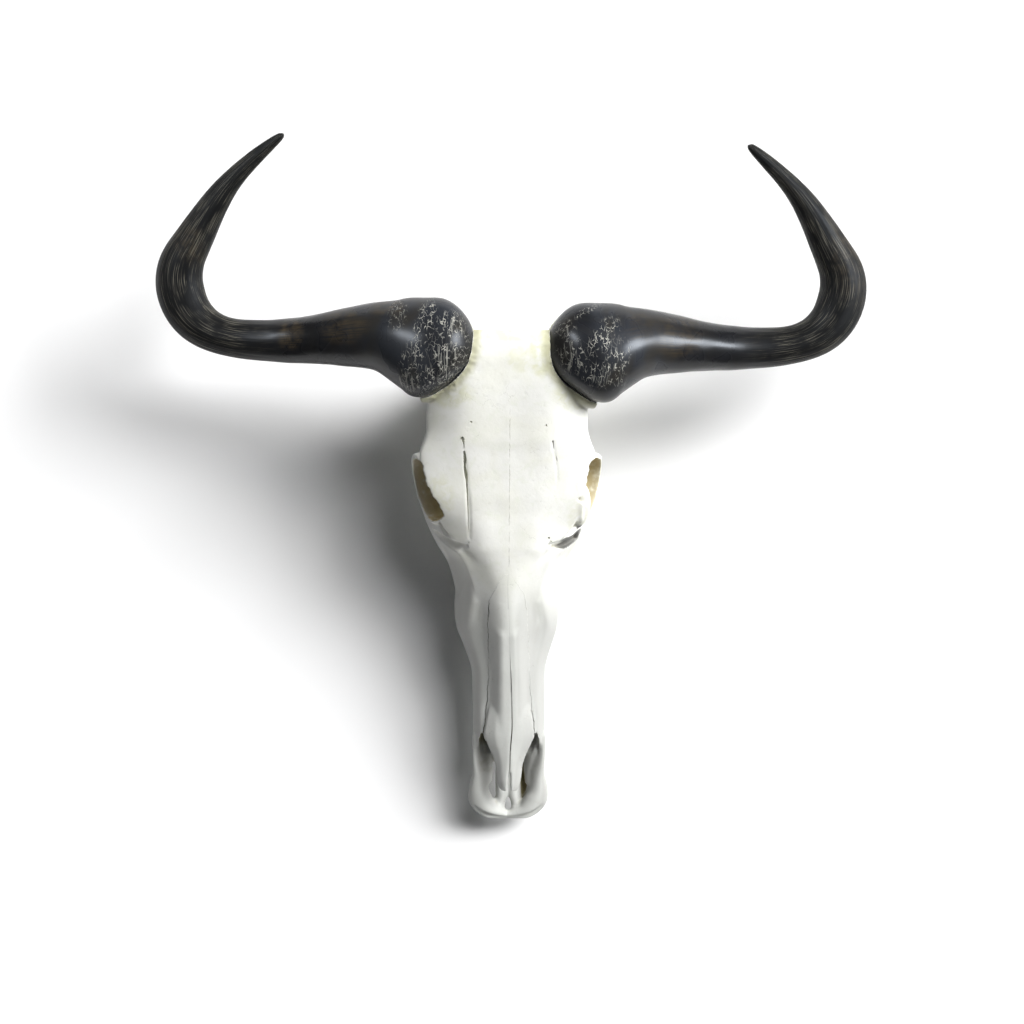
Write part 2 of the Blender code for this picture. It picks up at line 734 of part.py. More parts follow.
def horn_frame(sign, count, grow=0.0):
    """The horn's rings, evenly spread on its surface: each one's centre and half axes across the face and in depth."""
    dense = np.array(smooth_path(HORN, HORN_SAMPLES))
    share = np.linspace(0, 1, HORN_SAMPLES)
    if sign > 0:
        dense[:, 0] += LEFT_OUTWARD * share**3 - LEFT_INWARD
        dense[:, 1] -= LEFT_FORWARD + LEFT_FORWARD_TIP * share
    for _ in range(HORN_SMOOTHING):
        dense[1:-1] = (dense[:-2] + 2 * dense[1:-1] + dense[2:]) / 4
    dense[:, 0] *= sign
    along = np.concatenate([[0], np.cumsum(np.linalg.norm(np.diff(dense, axis=0), axis=1))])
    even = np.linspace(0, along[-1], count)
    spread = np.array([np.interp(even, along, column) for column in dense.T]).T
    places = [Vector(row[:3]) for row in spread]
    places[0] -= (places[1] - places[0]).normalized() * grow
    rows = []
    for i, (place, (high, deep)) in enumerate(zip(places, spread[:, 3:] + grow)):
        ahead = (places[min(i + 1, count - 1)] - places[max(i - 1, 0)]).normalized()
        turned = min(max((abs(place.x) - BOSS_END) / TURN_LENGTH, 0), 1)
        ahead = (Vector((sign, 0, ahead.z)) * (1 - turned) + ahead * turned).normalized()
        across = Vector((0, 0, 1)).cross(ahead).normalized()
        depth = ahead.cross(across).normalized()
        rows.append((place, across * high, depth * deep))
    return rows


def horn(name, sign, grow=0.0):
    """One horn sheath, grown by `grow` where it cuts its own seat."""
    return loft(name, [ellipse(place, a, b, HORN_SIDES) for place, a, b in horn_frame(sign, HORN_RINGS, grow)])


def bend(obj):
    """Lets the bone's middle stray to one side along its length, as the real skull's does."""
    places = np.linspace(MIDLINE[0][0], MIDLINE[-1][0], 200)
    strays = [between(MIDLINE, y)[0] for y in places]
    points = np.empty(len(obj.data.vertices) * 3, np.float32)
    obj.data.vertices.foreach_get("co", points)
    points[0::3] += np.interp(points[1::3] / MM, places, strays) * MM
    obj.data.vertices.foreach_set("co", points)


def floor_block():
    """Everything below the floor, which cuts the tips of the jugular processes flat."""
    rings = [[(x, y, z) for x, y in ((-200, -400), (200, -400), (200, 400), (-200, 400))] for z in (-60, 0)]
    return loft("floor_block", rings)


def part_bones(whole):
    """The cranium and, by thin cuts along their sutures, the nasal bones and premaxillae."""
    bones = []
    for label, region in (("nasal", nasal_region), ("premaxilla", premaxilla_region)):
        for side, sign in SIDES:
            bone = new_object(f"{label}_{side}", whole.data.copy())
            bones.append(boolean(bone, [region(sign=sign)], "INTERSECT"))
    whole.name = "cranium"
    return [boolean(whole, [nasal_region(SEAM), premaxilla_region(SEAM)], "DIFFERENCE"), *bones]


def material(name, colour, roughness):
    made = bpy.data.materials.new(name)
    made.use_nodes = True
    shader = made.node_tree.nodes["Principled BSDF"]
    shader.inputs["Base Color"].default_value = (*colour, 1)
    shader.inputs["Roughness"].default_value = roughness
    return made


def centred(objects):
    """Moves the meshes so that the middle of their common box, at its base, is the origin."""
    points = [v.co for obj in objects for v in obj.data.vertices]
    low = Vector([min(p[i] for p in points) for i in range(3)])
    high = Vector([max(p[i] for p in points) for i in range(3)])
    middle = (low + high) / 2
    for obj in objects:
        obj.data.transform(Matrix.Translation((-middle.x, -middle.y, -low.z)))


def main():
    for obj in list(bpy.data.objects):
        bpy.data.objects.remove(obj)
    whole = thinned(bone_clay(), BONE_TRIANGLES)
    whole = boolean(whole, [floor_block()], "DIFFERENCE")
    cranium, *bones = part_bones(whole)
    cranium = boolean(cranium, [tooth for _, sign in SIDES for tooth in teeth(sign)], "UNION")
    for obj in (cranium, *bones):
        bend(obj)
    cranium = boolean(cranium, [horn("seat", sign, SEAT) for _, sign in SIDES], "DIFFERENCE")
    horns = [horn("horn_" + side, sign) for side, sign in SIDES]
    centred([cranium, *bones, *horns])
    skull = bpy.data.collections.new("wildebeest_skull")
    bpy.context.scene.collection.children.link(skull)
    for obj, colour, roughness in [(b, BONE, 0.6) for b in (cranium, *bones)] + [(h, SHEATH, 0.25) for h in horns]:
        bpy.context.scene.collection.objects.unlink(obj)
        skull.objects.link(obj)
        obj.data.name = obj.name
        obj.data.materials.clear()
        obj.data.materials.append(material(obj.name, colour, roughness))
        obj.data.shade_smooth()


main()
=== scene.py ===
"""The looks of a blue wildebeest skull without its lower jaw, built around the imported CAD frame.

The bone and the horns are modelled again from the same sizes, on a finer grid, with sutures, channels,
pits, worn teeth and striped sheaths. Tables and sizes are in millimetres in the skull's own frame, whose
middle plane is X = 0: the nose points to -Y, +X is the animal's own left. MM turns them into metres.
"""

import itertools
import math

import bmesh
import bpy
import numpy as np
from mathutils import Matrix, Vector
from mathutils.bvhtree import BVHTree


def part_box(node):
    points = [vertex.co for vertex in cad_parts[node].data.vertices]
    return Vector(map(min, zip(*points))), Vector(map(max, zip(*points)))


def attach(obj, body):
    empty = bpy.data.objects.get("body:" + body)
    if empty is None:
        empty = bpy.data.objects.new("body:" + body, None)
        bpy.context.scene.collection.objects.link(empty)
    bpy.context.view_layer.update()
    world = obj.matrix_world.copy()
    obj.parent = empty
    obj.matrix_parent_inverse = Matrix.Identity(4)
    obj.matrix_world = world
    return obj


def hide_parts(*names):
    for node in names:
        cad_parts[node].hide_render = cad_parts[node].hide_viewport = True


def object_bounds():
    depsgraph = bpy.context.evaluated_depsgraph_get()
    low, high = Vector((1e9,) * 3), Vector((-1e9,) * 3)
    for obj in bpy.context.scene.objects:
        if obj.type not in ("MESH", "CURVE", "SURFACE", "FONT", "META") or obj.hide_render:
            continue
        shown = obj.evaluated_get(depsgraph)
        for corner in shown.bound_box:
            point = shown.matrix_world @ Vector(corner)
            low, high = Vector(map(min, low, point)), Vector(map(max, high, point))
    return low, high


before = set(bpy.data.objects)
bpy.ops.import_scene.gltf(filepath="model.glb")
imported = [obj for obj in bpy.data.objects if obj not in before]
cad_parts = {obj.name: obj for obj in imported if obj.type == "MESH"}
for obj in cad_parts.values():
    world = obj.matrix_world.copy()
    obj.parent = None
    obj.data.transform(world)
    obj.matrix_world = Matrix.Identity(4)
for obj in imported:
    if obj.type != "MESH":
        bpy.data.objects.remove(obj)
CAD_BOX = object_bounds()

MM = 0.001
SIDES = (("right", -1), ("left", 1))
# For bars that stand or lie across Y: `flat` then gives their size along Y.
UPRIGHT = (0, 1, 0)

# The grid of the fused bone, and how often it is smoothed: the closed form, and then the hollowed one.
GRAIN = 1.05
SOFTEN = 14
RESOFTEN = 2
# Clear space between neighbouring bones, and between a horn and its seat.
SEAM = 0.16
SEAM_LEAST = 0.04
SEAT = 0.4

# Snout and upper jaw, from nose to orbit. Columns: place along Y, height of the roof, half width and drop
# of the roof's edge, half width and height of the widest line, half width and height of the gum line,
# height of the palate.
SNOUT = (
    (-246, 86, 9, 1.5, 33, 48, 28, 27, 36),
    (-225, 89.5, 9, 1.5, 33.5, 50, 28, 25, 35),
    (-190, 98, 9, 1.5, 34, 54, 26, 24, 34),
    (-170, 105, 9, 1.5, 34.5, 54, 27, 22, 33),
    (-150, 111, 9, 1.5, 40.5, 49, 34, 19, 31),
    (-132, 117, 9, 1.5, 47, 47, 39, 17, 30),
    (-114, 123, 9, 1.5, 49, 47, 41, 16, 31),
    (-95, 129, 10, 1.5, 47.5, 51, 42, 16, 33),
    (-80, 134, 13, 2.5, 47, 60, 43, 16, 34),
    (-66, 138, 16, 3.5, 48, 68, 43, 16, 36),
    (-48, 143, 20, 5.0, 50, 76, 42, 18, 38),
    (-34, 147, 22, 8.0, 44, 82, 32, 30, 46),
    (-14, 153, 24, 10.0, 34, 88, 20, 48, 55),
    (12, 162, 24, 10.0, 32, 95, 16, 56, 60),
)
# The flank's corner, as shares of the width and the height, beside the orbits and on the snout. On the
# snout it is a shelf, whose inner end lies under the edge of the nasal bones.
FLANK_BACK = (0.75, 0.7)
FLANK_FRONT = (0.83, 0.58)
SHELF_INNER = (0.55, 0.7)
SHELF_START, SHELF_FULL = -106, -138
GUM_WIDTH = 13
# The front of the snout leans back: its roof ends this much further back for each millimetre of height.
SNOUT_LEAN = 0.6
LEAN_MIDDLE = 53
LEAN_START = -185

# Forehead, from the root of the nose to the poll. Columns: place, height at the middle, half width of the
# flat middle, half width and height of the side edge.
FOREHEAD = (
    (-97, 128, 5, 8, 126),
    (-84, 132.5, 8, 15, 129),
    (-70, 137, 14, 25, 131),
    (-58, 141, 22, 36, 132),
    (-48, 144, 26, 48, 131),
    (-38, 147, 30, 57, 131),
    (-25, 151, 33, 64, 139),
    (-11, 156, 36, 70, 146),
    (2, 160, 38, 75, 150),
    (20, 166, 41, 77, 154),
    (30, 169.5, 42, 77, 156),
    (40, 173.5, 42, 73.5, 158),
    (50, 177, 42, 71, 160),
    (64, 182, 42, 71, 163),
    (82, 188, 42, 68, 168),
    (100, 193, 42, 62, 177),
    (118, 197, 40, 55, 185),
    (130, 196, 36, 46, 187),
    (138, 190, 30, 38, 182),
)
FOREHEAD_DEPTH = 42

# Braincase, from behind the orbits to the occiput. Columns: place, top, half width and height of the side,
# half width and height of the lower side, height of the base.
BRAINCASE = (
    (8, 150, 28, 112, 17, 64, 58),
    (34, 165, 40, 120, 26, 72, 57),
    (60, 178, 48, 116, 40, 74, 54),
    (82, 188, 53, 110, 47, 66, 50),
    (104, 190, 56, 106, 45, 58, 48),
    (120, 186, 53, 110, 38, 58, 50),
    (131, 172, 45, 122, 30, 74, 66),
    (140, 156, 34, 138, 22, 108, 100),
)

# Wall in front of the orbit. Columns: place, then distance from the middle and height of its upper edge, of
# its bulge, and of its lower edge.
FACE_WALL = (
    (-104, 8, 124, 28, 111, 45, 70),
    (-84, 13, 129, 33, 118, 49, 74),
    (-68, 22, 131, 40, 124, 54, 80),
    (-57, 30, 131, 49, 125, 60, 84),
    (-46, 38, 131, 58, 121, 67, 88),
    (-36, 44, 131, 63, 118, 72, 92),
    (-29, 46, 131, 64, 116, 73, 94),
)
WALL_DEPTH = 13

# Orbit: centre, tilt of its opening forward and up, half length and half height of the rim, wall, depth.
ORBIT_CENTRE = (76, -2, 119)
ORBIT_FORWARD, ORBIT_UP = 0.27, 0.21
ORBIT_HALF_LENGTH, ORBIT_HALF_HEIGHT = 33, 31
ORBIT_WALL = 5
ORBIT_DEPTH = 46

# Right horn, from the boss's inner end to the tip. Columns: distance from the middle plane, place along Y,
# height, half height across the face, half depth.
HORN = (
    (33.4, 124.5, 180, 4, 3.4),
    (34.4, 125, 180, 11.5, 9.3),
    (37, 126, 180.5, 19.5, 15.8),
    (41.6, 127, 181, 26.8, 21.5),
    (48.2, 127.8, 181.5, 33, 26.3),
    (56, 127.7, 182, 38.2, 30),
    (65, 126, 182, 42.3, 32.5),
    (76.7, 123, 180, 45, 34.5),
    (90.2, 123.5, 177, 44.5, 34),
    (99, 127.2, 174.5, 39.4, 32.9),
    (108, 130.8, 171.3, 35.2, 31.1),
    (117, 133.2, 168, 32.2, 28.6),
    (131, 134, 161.8, 29.6, 25.9),
    (162, 133, 148, 25.2, 23.2),
    (199.5, 131.5, 133, 20.4, 20),
    (236, 132.8, 127, 18.7, 18.7),
    (256, 135.5, 127, 18, 18.2),
    (271, 140.5, 127.5, 18.8, 18.4),
    (284, 149, 128.5, 20.4, 18.8),
    (294.5, 163, 130.5, 21.7, 19),
    (300, 184, 134.5, 21.9, 18.9),
    (296.5, 203, 139, 20.6, 18),
    (286.5, 220, 143.5, 18.2, 16.4),
    (263, 257, 158, 12.4, 11.8),
    (242.3, 280, 166.5, 9, 8.7),
    (220.5, 298, 175.5, 6.4, 6.2),
    (208, 307.3, 180, 4.2, 4.1),
    (203.2, 310.7, 181.8, 2.6, 2.6),
    (202, 311.6, 182.2, 0.8, 0.8),
)
HORN_SIDES = 132
HORN_RINGS = 420
# The horn's path is worked out at this many places and smoothed this often, before it gets its rings.
HORN_SAMPLES, HORN_SMOOTHING = 1600, 900
# Rings and sides of the solid horn.
SOLID_RINGS, SOLID_SIDES = 56, 22
# The solid's horn is a polygon inside its circle, and this share keeps the round one inside the same box.
HORN_SHARE = 0.992
# Rings of the boss stand across the head, and those further out than this turn with the horn, fully from
# the second.
BOSS_END, TURN_END = 96, 136
# The left horn starts closer to the middle, sits further forward on the head and reaches further out.
LEFT_INWARD, LEFT_OUTWARD = 1.3, 11
LEFT_FORWARD, LEFT_FORWARD_TIP = 3.5, 5.0
# The bony collar below each boss: how far it stands out, where it ends and from where on it is full, where
# it starts to reach inward, how far it lies below and in front of the horn's middle, and its half depth.
COLLAR_OUT = 2
COLLAR_END, COLLAR_FULL = 80, 64
COLLAR_MIDDLE = 65
COLLAR_DROP, COLLAR_FORWARD = 13, 4.5
COLLAR_DEPTH = 20
COLLAR_RINGS = 160

# Nasal bones. Columns: place, half width of the pair, height of the underside at the middle, and the gaps
# to the bones beside them on the right and on the left. NASAL_PITCH is how steeply the underside falls to
# its edges.
NASAL = (
    (-294, 25, 60, 0.5, 0.5),
    (-262, 25, 68, 0.5, 0.5),
    (-236, 24, 76, 0.6, 0.6),
    (-215, 22, 81, 0.55, 0.5),
    (-197, 20.2, 84, 0.7, 0.3),
    (-175, 19, 87, 0.3, 0.16),
    (-150, 18.3, 94, 0.35, 0.12),
    (-125, 18, 104, 0.6, 0.14),
    (-110, 17, 113, 0.55, 0.05),
    (-102, 16, 118.5, 0.05, 0.04),
    (-90, 9.5, 124, 0.04, 0.04),
    (-80, 3, 129, 0.04, 0.04),
)
NASAL_PITCH = 0.3
# Suture between the nasal bones. Columns: place, how far it strays from the middle, how far it gapes.
NASAL_MIDDLE = (
    (-330, -0.8, 1.3),
    (-282, -0.8, 1.3),
    (-262, 0.6, 1.1),
    (-243, 1.1, 1.0),
    (-225, 2.4, 0.9),
    (-206, 2.3, 0.8),
    (-180, 1.7, 0.6),
    (-165, 1.3, 0.2),
    (-120, 0.6, 0.06),
    (-60, 0, 0.05),
)

# Suture of the premaxilla, from the rim of the nostril to the lower edge, and the space above the bone.
PREMAXILLA_OUTLINE = ((-330, 8), (-330, 45), (-290, 49), (-262, 56.5), (-243, 63), (-268, 8))

# Cheek teeth, from the second premolar to the last molar: length, width, and lobes.
TEETH = ((9, 10, 1), (12, 12, 1), (13, 15, 1), (18, 17, 2), (22, 18, 2), (24, 17, 2))
TEETH_BACK = -43
TEETH_MIDDLE_FRONT, TEETH_MIDDLE_BACK = 28, 33
TEETH_ROOT = 25

# The hollow below the ridge in front of the orbit: rows of place and half width.
TEAR_FOSSA = (
    (37, -54.5, 137, 3),
    (45, -55, 131, 5),
    (55, -53.5, 121, 7),
    (65, -48, 107, 7.5),
    (74, -41, 96, 4.5),
)
# The open side of the orbit, seen from above. Columns: place, distance of the brow's edge from the middle,
# and the height above which nothing closes the orbit.
BROW = (
    (26, 82, 128),
    (19, 76.6, 122),
    (10, 75, 119),
    (1, 72.6, 117),
    (-6, 69, 115),
    (-12, 65.4, 113),
    (-19, 61, 112),
    (-25, 58.5, 113),
    (-29, 60, 117),
    (-31.5, 66, 125),
)
BROW_RINGS = 90
# Bone that closes the front of the left orbit from above, in rows of place and half width.
BROW_FRONT = (
    (62, 4, 147, 4),
    (65.5, -4, 141, 7),
    (66.5, -12, 133, 8.5),
    (66, -20, 125, 9),
    (64.5, -28, 117, 8),
    (63, -34, 110, 5.5),
)
# The left brow's edge lies a little further in than that, but reaches out over the front of the orbit: by
# how much, and where that starts and is full.
BROW_LEFT_OUT, BROW_LEFT_IN = 18, 3
BROW_LEFT_START, BROW_LEFT_FULL = -11, -21

# How far the skull's middle strays from the plane X = 0: place, and the distance.
MIDLINE = (
    (-330, -0.5),
    (-230, 0),
    (-170, -0.5),
    (-110, -2.2),
    (0, -2.4),
    (40, -3.2),
    (60, -3.6),
    (90, -2.5),
    (130, -0.5),
    (170, -0.3),
)

# The groove between the ridge on the premaxilla's broad end and its lip: rows of place and half width.
LIP_GROOVE = (
    (33, -301, 40, 2.5),
    (26, -308, 38.5, 3.6),
    (15, -312.5, 37, 3.8),
    (5, -314, 35.5, 3.4),
    (-1, -314, 34.5, 3),
)

# Height and half width that no bone reaches.
ROOM_TOP, ROOM_SIDE = 150, 70

# Grooves that vessels left in the forehead, and narrow slits, in rows of place in plan, half width, depth.
GROOVES = (
    ((-39.3, 30, 1.8, 0.3), (-38.2, 12, 2.6, 0.5), (-36.9, -8, 3, 0.6), (-36, -30, 3, 0.5),
     (-35.5, -48, 2, 0.2)),
    ((40, 40, 1.4, 0.8), (40.7, 35, 1.3, 0.7), (42.6, 23, 1.5, 0.5), (44.3, 10, 1.5, 0.4),
     (43, -3, 0.9, 0.2)),
)
SLITS = (
    ((-41, 43.5, 1.3, 5), (-39.9, 41, 1.7, 6), (-39.2, 37, 0.7, 4), (-39, 33, 0.3, 1.5)),
    ((-38.9, 31, 0.8, 4), (-38.4, 24, 1.5, 7), (-38.7, 17, 1.1, 7), (-37.5, 9, 1.6, 7), (-37.3, 3, 0.8, 5)),
    ((-37.3, 4, 0.7, 5), (-36.6, -12, 0.65, 3), (-36.1, -26, 0.5, 2.5), (-35.8, -42, 0.25, 1.2)),
    ((40.2, 40, 0.7, 4), (40.6, 37, 0.4, 3), (41, 33, 0.25, 1.2)),
    ((43.4, 26, 0.45, 2), (44.2, 21, 0.2, 1)),
)
# How far the middle of a channel's cutter stands above the surface.
CHANNEL_CLEAR = 1
# Holes that vessels leave the bone by: place in plan, radius.
FORAMINA = (
    (-32.2, 57, 0.9),
    (34.6, 54, 0.9),
    (37, -46.7, 1.1),
    (38.8, -49.6, 0.9),
    (-35.7, -50.5, 0.8),
)
HOLE_DEPTH = 7

# Unevenness of the bone: size of its features, and how far they stand out or sink. It fades near the floor.
BONE_RELIEF = ((18, 0.16), (7, 0.06))
RELIEF_START, RELIEF_FULL = 1, 5
# Pits lie in patches.
PIT_SIZE, PIT_PATCH, PIT_DEPTH = 2.2, 26, 0.1
# A point's hollowness is how deep it lies below the mean of its neighbours, taken this many times.
HOLLOW_ROUNDS = 14
# Ridges that wear has rounded: middle, reach and strength.
WORN = (
    ((0, -84, 132), (44, 34, 26), 1.0),
    ((0, -110, 122), (30, 30, 24), 0.8),
    ((-29, -158, 84), (16, 54, 26), 0.8),
    ((29, -158, 84), (16, 54, 26), 0.8),
)
WORN_ROUNDS = 90
# The deep hollow in front of the left orbit: rows of place, half width and half height.
TEAR_SLOT = (
    (40, -54.5, 130, 1.6, 5),
    (50, -53, 124, 2.8, 11),
    (60, -48.5, 114, 3.6, 15),
    (70, -41, 102, 3.4, 15),
)
# The rough bone beside the horn seats: how far it reaches, the size of its lumps, and their height. It is
# looked for only behind and above these places.
BURR_REACH, BURR_SIZE, BURR_HEIGHT = 12, 2.6, 0.6
BURR_FROM_Y, BURR_FROM_Z = 55, 120
# Stained hollows, and painted shade on the shelf under the left nostril's slit: middle, reach along X, Y
# and Z, and strength. Only surface that faces the middle is stained or darkened.
STAINS_AND_SHADE = (
    ((-14, -232, 72), (20, 24, 38), 0.8),
    ((-14, -256, 66), (20, 32, 38), 0.4),
    ((14, -236, 72), (20, 24, 38), 0.4),
    ((14, -262, 66), (20, 32, 38), 0.25),
    ((0, -225, 62), (22, 40, 26), 0.9),
    # Painted shade: the shelf under the left nostril's slit, darkened as a deep cavity.
    ((13, -276, 32), (7, 20, 20), 1.0),
    ((0, 140, 62), (20, 40, 20), 0.9),
    ((0, -20, 44), (16, 50, 14), 0.8),
)
# Hollows that are stained ochre, and painted shade in the hollow in front of the left orbit, given in the
# same way.
OCHRE = (
    ((64, 0, 124), (40, 42, 44), 1.0),
    ((-64, 0, 124), (40, 42, 44), 1.0),
)
TEAR_HOLLOW_SHADE = (
    ((58, -47, 113), (24, 15, 26), 1.0),
)
# Yellowish bone: middle, reach and strength.
YELLOWED = (
    ((0, 138, 190), (44, 14, 20), 0.7),
    ((26, 118, 190), (14, 26, 20), 0.7),
    ((8, 112, 194), (14, 14, 20), 0.4),
    ((-48, 84, 166), (30, 20, 30), 0.6),
    ((52, 84, 166), (30, 20, 30), 0.6),
    ((-62, 0, 140), (20, 34, 22), 0.35),
    ((64, -20, 130), (20, 30, 22), 0.3),
)

# Marks on the sheaths, seen from above: middle, half width and half length, turn in degrees, strength.
CRACKLED = (
    (-77, 140, 9, 27, -12, 1.0),
    (-88, 110, 10, 24, -20, 0.8),
    (-101, 150, 9, 16, -10, 0.6),
    (-53, 140, 14, 14, 30, 0.9),
    (-52, 108, 17, 24, 30, 0.9),
    (-74, 92, 26, 13, 10, 0.8),
    (-46, 126, 9, 16, 0, 0.8),
    (66, 155, 18, 2.5, 32, 1.0),
    (80, 130, 10, 22, -32, 1.0),
    (92, 108, 11, 20, -20, 1.0),
    (80, 96, 20, 11, -10, 0.9),
    (46, 138, 10, 9, 0, 0.9),
    (52, 114, 13, 17, 20, 0.8),
)
# Scratches that sweep round the boss.
SWEPT = (
    (-56, 106, 17, 20, 30, 1.0),
    (-84, 94, 22, 10, 20, 1.0),
    (-48, 140, 9, 10, 30, 0.7),
    (52, 112, 10, 16, 20, 0.9),
    (44, 136, 6, 8, 0, 0.8),
    (78, 96, 12, 9, -10, 0.7),
)
AMBER = (
    (-198, 137, 12, 16, -10, 0.9),
    (-149, 142, 22, 18, 0, 0.7),
    (-110, 158, 18, 8, 0, 0.6),
    (-292, 226, 14, 30, 20, 0.6),
    (150, 134, 24, 22, 20, 0.6),
    (118, 140, 20, 16, 0, 0.35),
    (307, 204, 18, 40, 10, 0.5),
)
# The sheath's striped part begins at this share of its length and is full from the second on.
FIBRE_START, FIBRE_FULL = 0.36, 0.5
# The boss's slate colour fades into the shaft's black between these shares.
SHAFT_START, SHAFT_FULL = 0.14, 0.32
# Unevenness of the sheath: size across and along it, and height.
SHEATH_RELIEF = ((22, 30, 0.5), (7, 14, 0.18))
FIBRE_RELIEF = (1.6, 40, 0.22)
SHEATH_GIRTH = 22

# The marks on each point that the materials read.
BONE_MARKS = ("hollow", "pitted", "burr", "stain_and_shade", "ochre", "tear_hollow_shade", "yellowed", "painted_wall_shade")
HORN_MARKS = ("fibre", "shaft", "crackled", "swept", "amber")
# Edges steeper than this are drawn sharp.
SHARP_EDGE = math.radians(50)

BONE_WHITE = (0.95, 0.95, 0.9)
BONE_CREAM = (0.92, 0.92, 0.84)
BONE_GREENISH = (0.87, 0.89, 0.78)
# Painted shade of the snout.
BONE_SNOUT_SHADE = (0.62, 0.63, 0.6)
# Painted shade on walls, by the way they face.
BONE_PAINTED_WALL_SHADE = (0.42, 0.42, 0.4)
BONE_YELLOW = (0.76, 0.76, 0.52)
BONE_COLLAR = (0.56, 0.55, 0.36)
# Grime, and painted shade in hollows.
BONE_DIRT_AND_HOLLOW_SHADE = (0.42, 0.4, 0.31)
# Cracks, and painted shade in the deepest hollows.
BONE_CRACK_AND_HOLLOW_SHADE = (0.16, 0.14, 0.09)
# Stains, and painted shade under the left nostril's slit.
BONE_STAIN_AND_SHADE = (0.17, 0.145, 0.065)
BONE_OCHRE = (0.46, 0.37, 0.17)
# Painted shade in the hollow in front of the left orbit.
BONE_TEAR_HOLLOW_SHADE = (0.13, 0.128, 0.12)
TOOTH_IVORY = (0.72, 0.68, 0.54)
TOOTH_BROWN = (0.36, 0.29, 0.18)
HORN_BLUE = (0.027, 0.03, 0.036)
HORN_BROWN = (0.028, 0.026, 0.023)
HORN_DEEP = (0.008, 0.008, 0.009)
HORN_BLACK = (0.003, 0.003, 0.003)
HORN_GREY = (0.03, 0.03, 0.03)
HORN_AMBER = (0.066, 0.05, 0.03)
HORN_FIBRE = (0.16, 0.15, 0.12)
HORN_PALE = (0.55, 0.54, 0.48)
# Where the faint suture of the forehead runs, in the frame.
MIDLINE_SUTURE_X = -3.0

# Suns: name, angle that each fills, strength, direction to it. In a row they make one long soft light.
SUNS = (
    ("high", 24, 1.5, (0.45, 0.5, 1)),
    ("middle", 24, 1.9, (0.85, 0.65, 1)),
    ("low", 26, 2.2, (1.3, 0.75, 1)),
)
# Panels that only show as reflections: name, direction, width, height and power.
PANELS = (
    ("glint_left", (-0.49, 0.36, 0.8), 0.3, 0.8, 14),
    ("glint_right", (0.81, 0.16, 0.55), 0.42, 0.8, 30),
)
PANEL_DISTANCE = 2
PANEL_COLOUR = (0.86, 0.92, 1)
FLOOR_REACH = 6
FLOOR_WHITE = (0.92, 0.92, 0.92)
FILL_COLOUR, FILL = (0.95, 0.97, 1.0), 0.06
# The camera looks straight down from this far, tilted a little to one side, on a long lens.
CAMERA_DISTANCE = 2.3
CAMERA_TILT = math.radians(1.2)
CAMERA_TARGET = Vector((0.0006, -0.0225, 0.1))
SENSOR = 36
LENS = SENSOR * 2500 / 1024


def between(table, at):
    """The table's columns at the place `at`, on a smooth curve through its rows."""
    rows = np.array(table, float)
    places, values = rows[:, 0], rows[:, 1:]
    slopes = np.gradient(values, places, axis=0)
    i = int(np.clip(np.searchsorted(places, at) - 1, 0, len(places) - 2))
    span = places[i + 1] - places[i]
    t = (at - places[i]) / span
    start, end = values[i], values[i + 1]
    return (
        (2 * t**3 - 3 * t**2 + 1) * start
        + (t**3 - 2 * t**2 + t) * span * slopes[i]
        + (3 * t**2 - 2 * t**3) * end
        + (t**3 - t**2) * span * slopes[i + 1]
    )


def stations(table, count):
    """Evenly spaced places along the table, each with the columns there."""
    return [(at, *between(table, at)) for at in np.linspace(table[0][0], table[-1][0], count)]


def smooth_path(points, count):
    """`count` points, evenly spread by row, on a smooth curve through the given ones."""
    rows = [(i, *p) for i, p in enumerate(points)]
    return [between(rows, at) for at in np.linspace(0, len(points) - 1, count)]


def ramp(value, start, end):
    """0 before `start`, 1 after `end`, and a straight rise between them."""
    return min(max((value - start) / (end - start), 0), 1)


def new_object(name, data):
    obj = bpy.data.objects.new(name, data)
    bpy.context.scene.collection.objects.link(obj)
    return obj


def object_from(name, bm):
    """A new object with the edited mesh, which is freed."""
    mesh = bpy.data.meshes.new(name)
    bm.to_mesh(mesh)
    bm.free()
    return new_object(name, mesh)


def remove(objects):
    for obj in objects:
        bpy.data.objects.remove(obj)


def loft(name, rings):
    """A closed solid through rings of points, each ring with the same number of them."""
    bm = bmesh.new()
    loops = [[bm.verts.new(Vector(p) * MM) for p in ring] for ring in rings]
    count = len(loops[0])
    for a, b in zip(loops, loops[1:]):
        for i in range(count):
            j = (i + 1) % count
            bm.faces.new((a[i], a[j], b[j], b[i]))
    for loop in (loops[0], loops[-1]):
        middle = bm.verts.new(sum((v.co for v in loop), Vector()) / count)
        for i in range(count):
            bm.faces.new((loop[i], loop[(i + 1) % count], middle))
    bmesh.ops.recalc_face_normals(bm, faces=bm.faces)
    return object_from(name, bm)


def outline_at(y, outline, sign=1):
    """A ring across the skull at Y, from an outline of (x, z) for its left side."""
    return [(x * sign, y, z) for x, z in outline]


def mirrored_ring(half, y, count=96):
    """A ring across the skull at Y, from a half outline of (x, z), from the top to the bottom middle."""
    points = smooth_path(half, count // 2 + 1)
    right = [(max(x, 0.0), y, z) for x, z in points]
    return right + [(-x, y, z) for x, _, z in reversed(right[1:-1])]


def ball(name, centre, radii, turn=(0, 0, 0), segments=64):
    bm = bmesh.new()
    bmesh.ops.create_uvsphere(bm, u_segments=segments, v_segments=segments // 2, radius=1)
    shape = Matrix.Translation(Vector(centre) * MM)
    for axis, angle in zip("XYZ", turn):
        shape = shape @ Matrix.Rotation(math.radians(angle), 4, axis)
    shape = shape @ Matrix.Diagonal((*(r * MM for r in radii), 1))
    bmesh.ops.transform(bm, matrix=shape, verts=bm.verts)
    return object_from(name, bm)


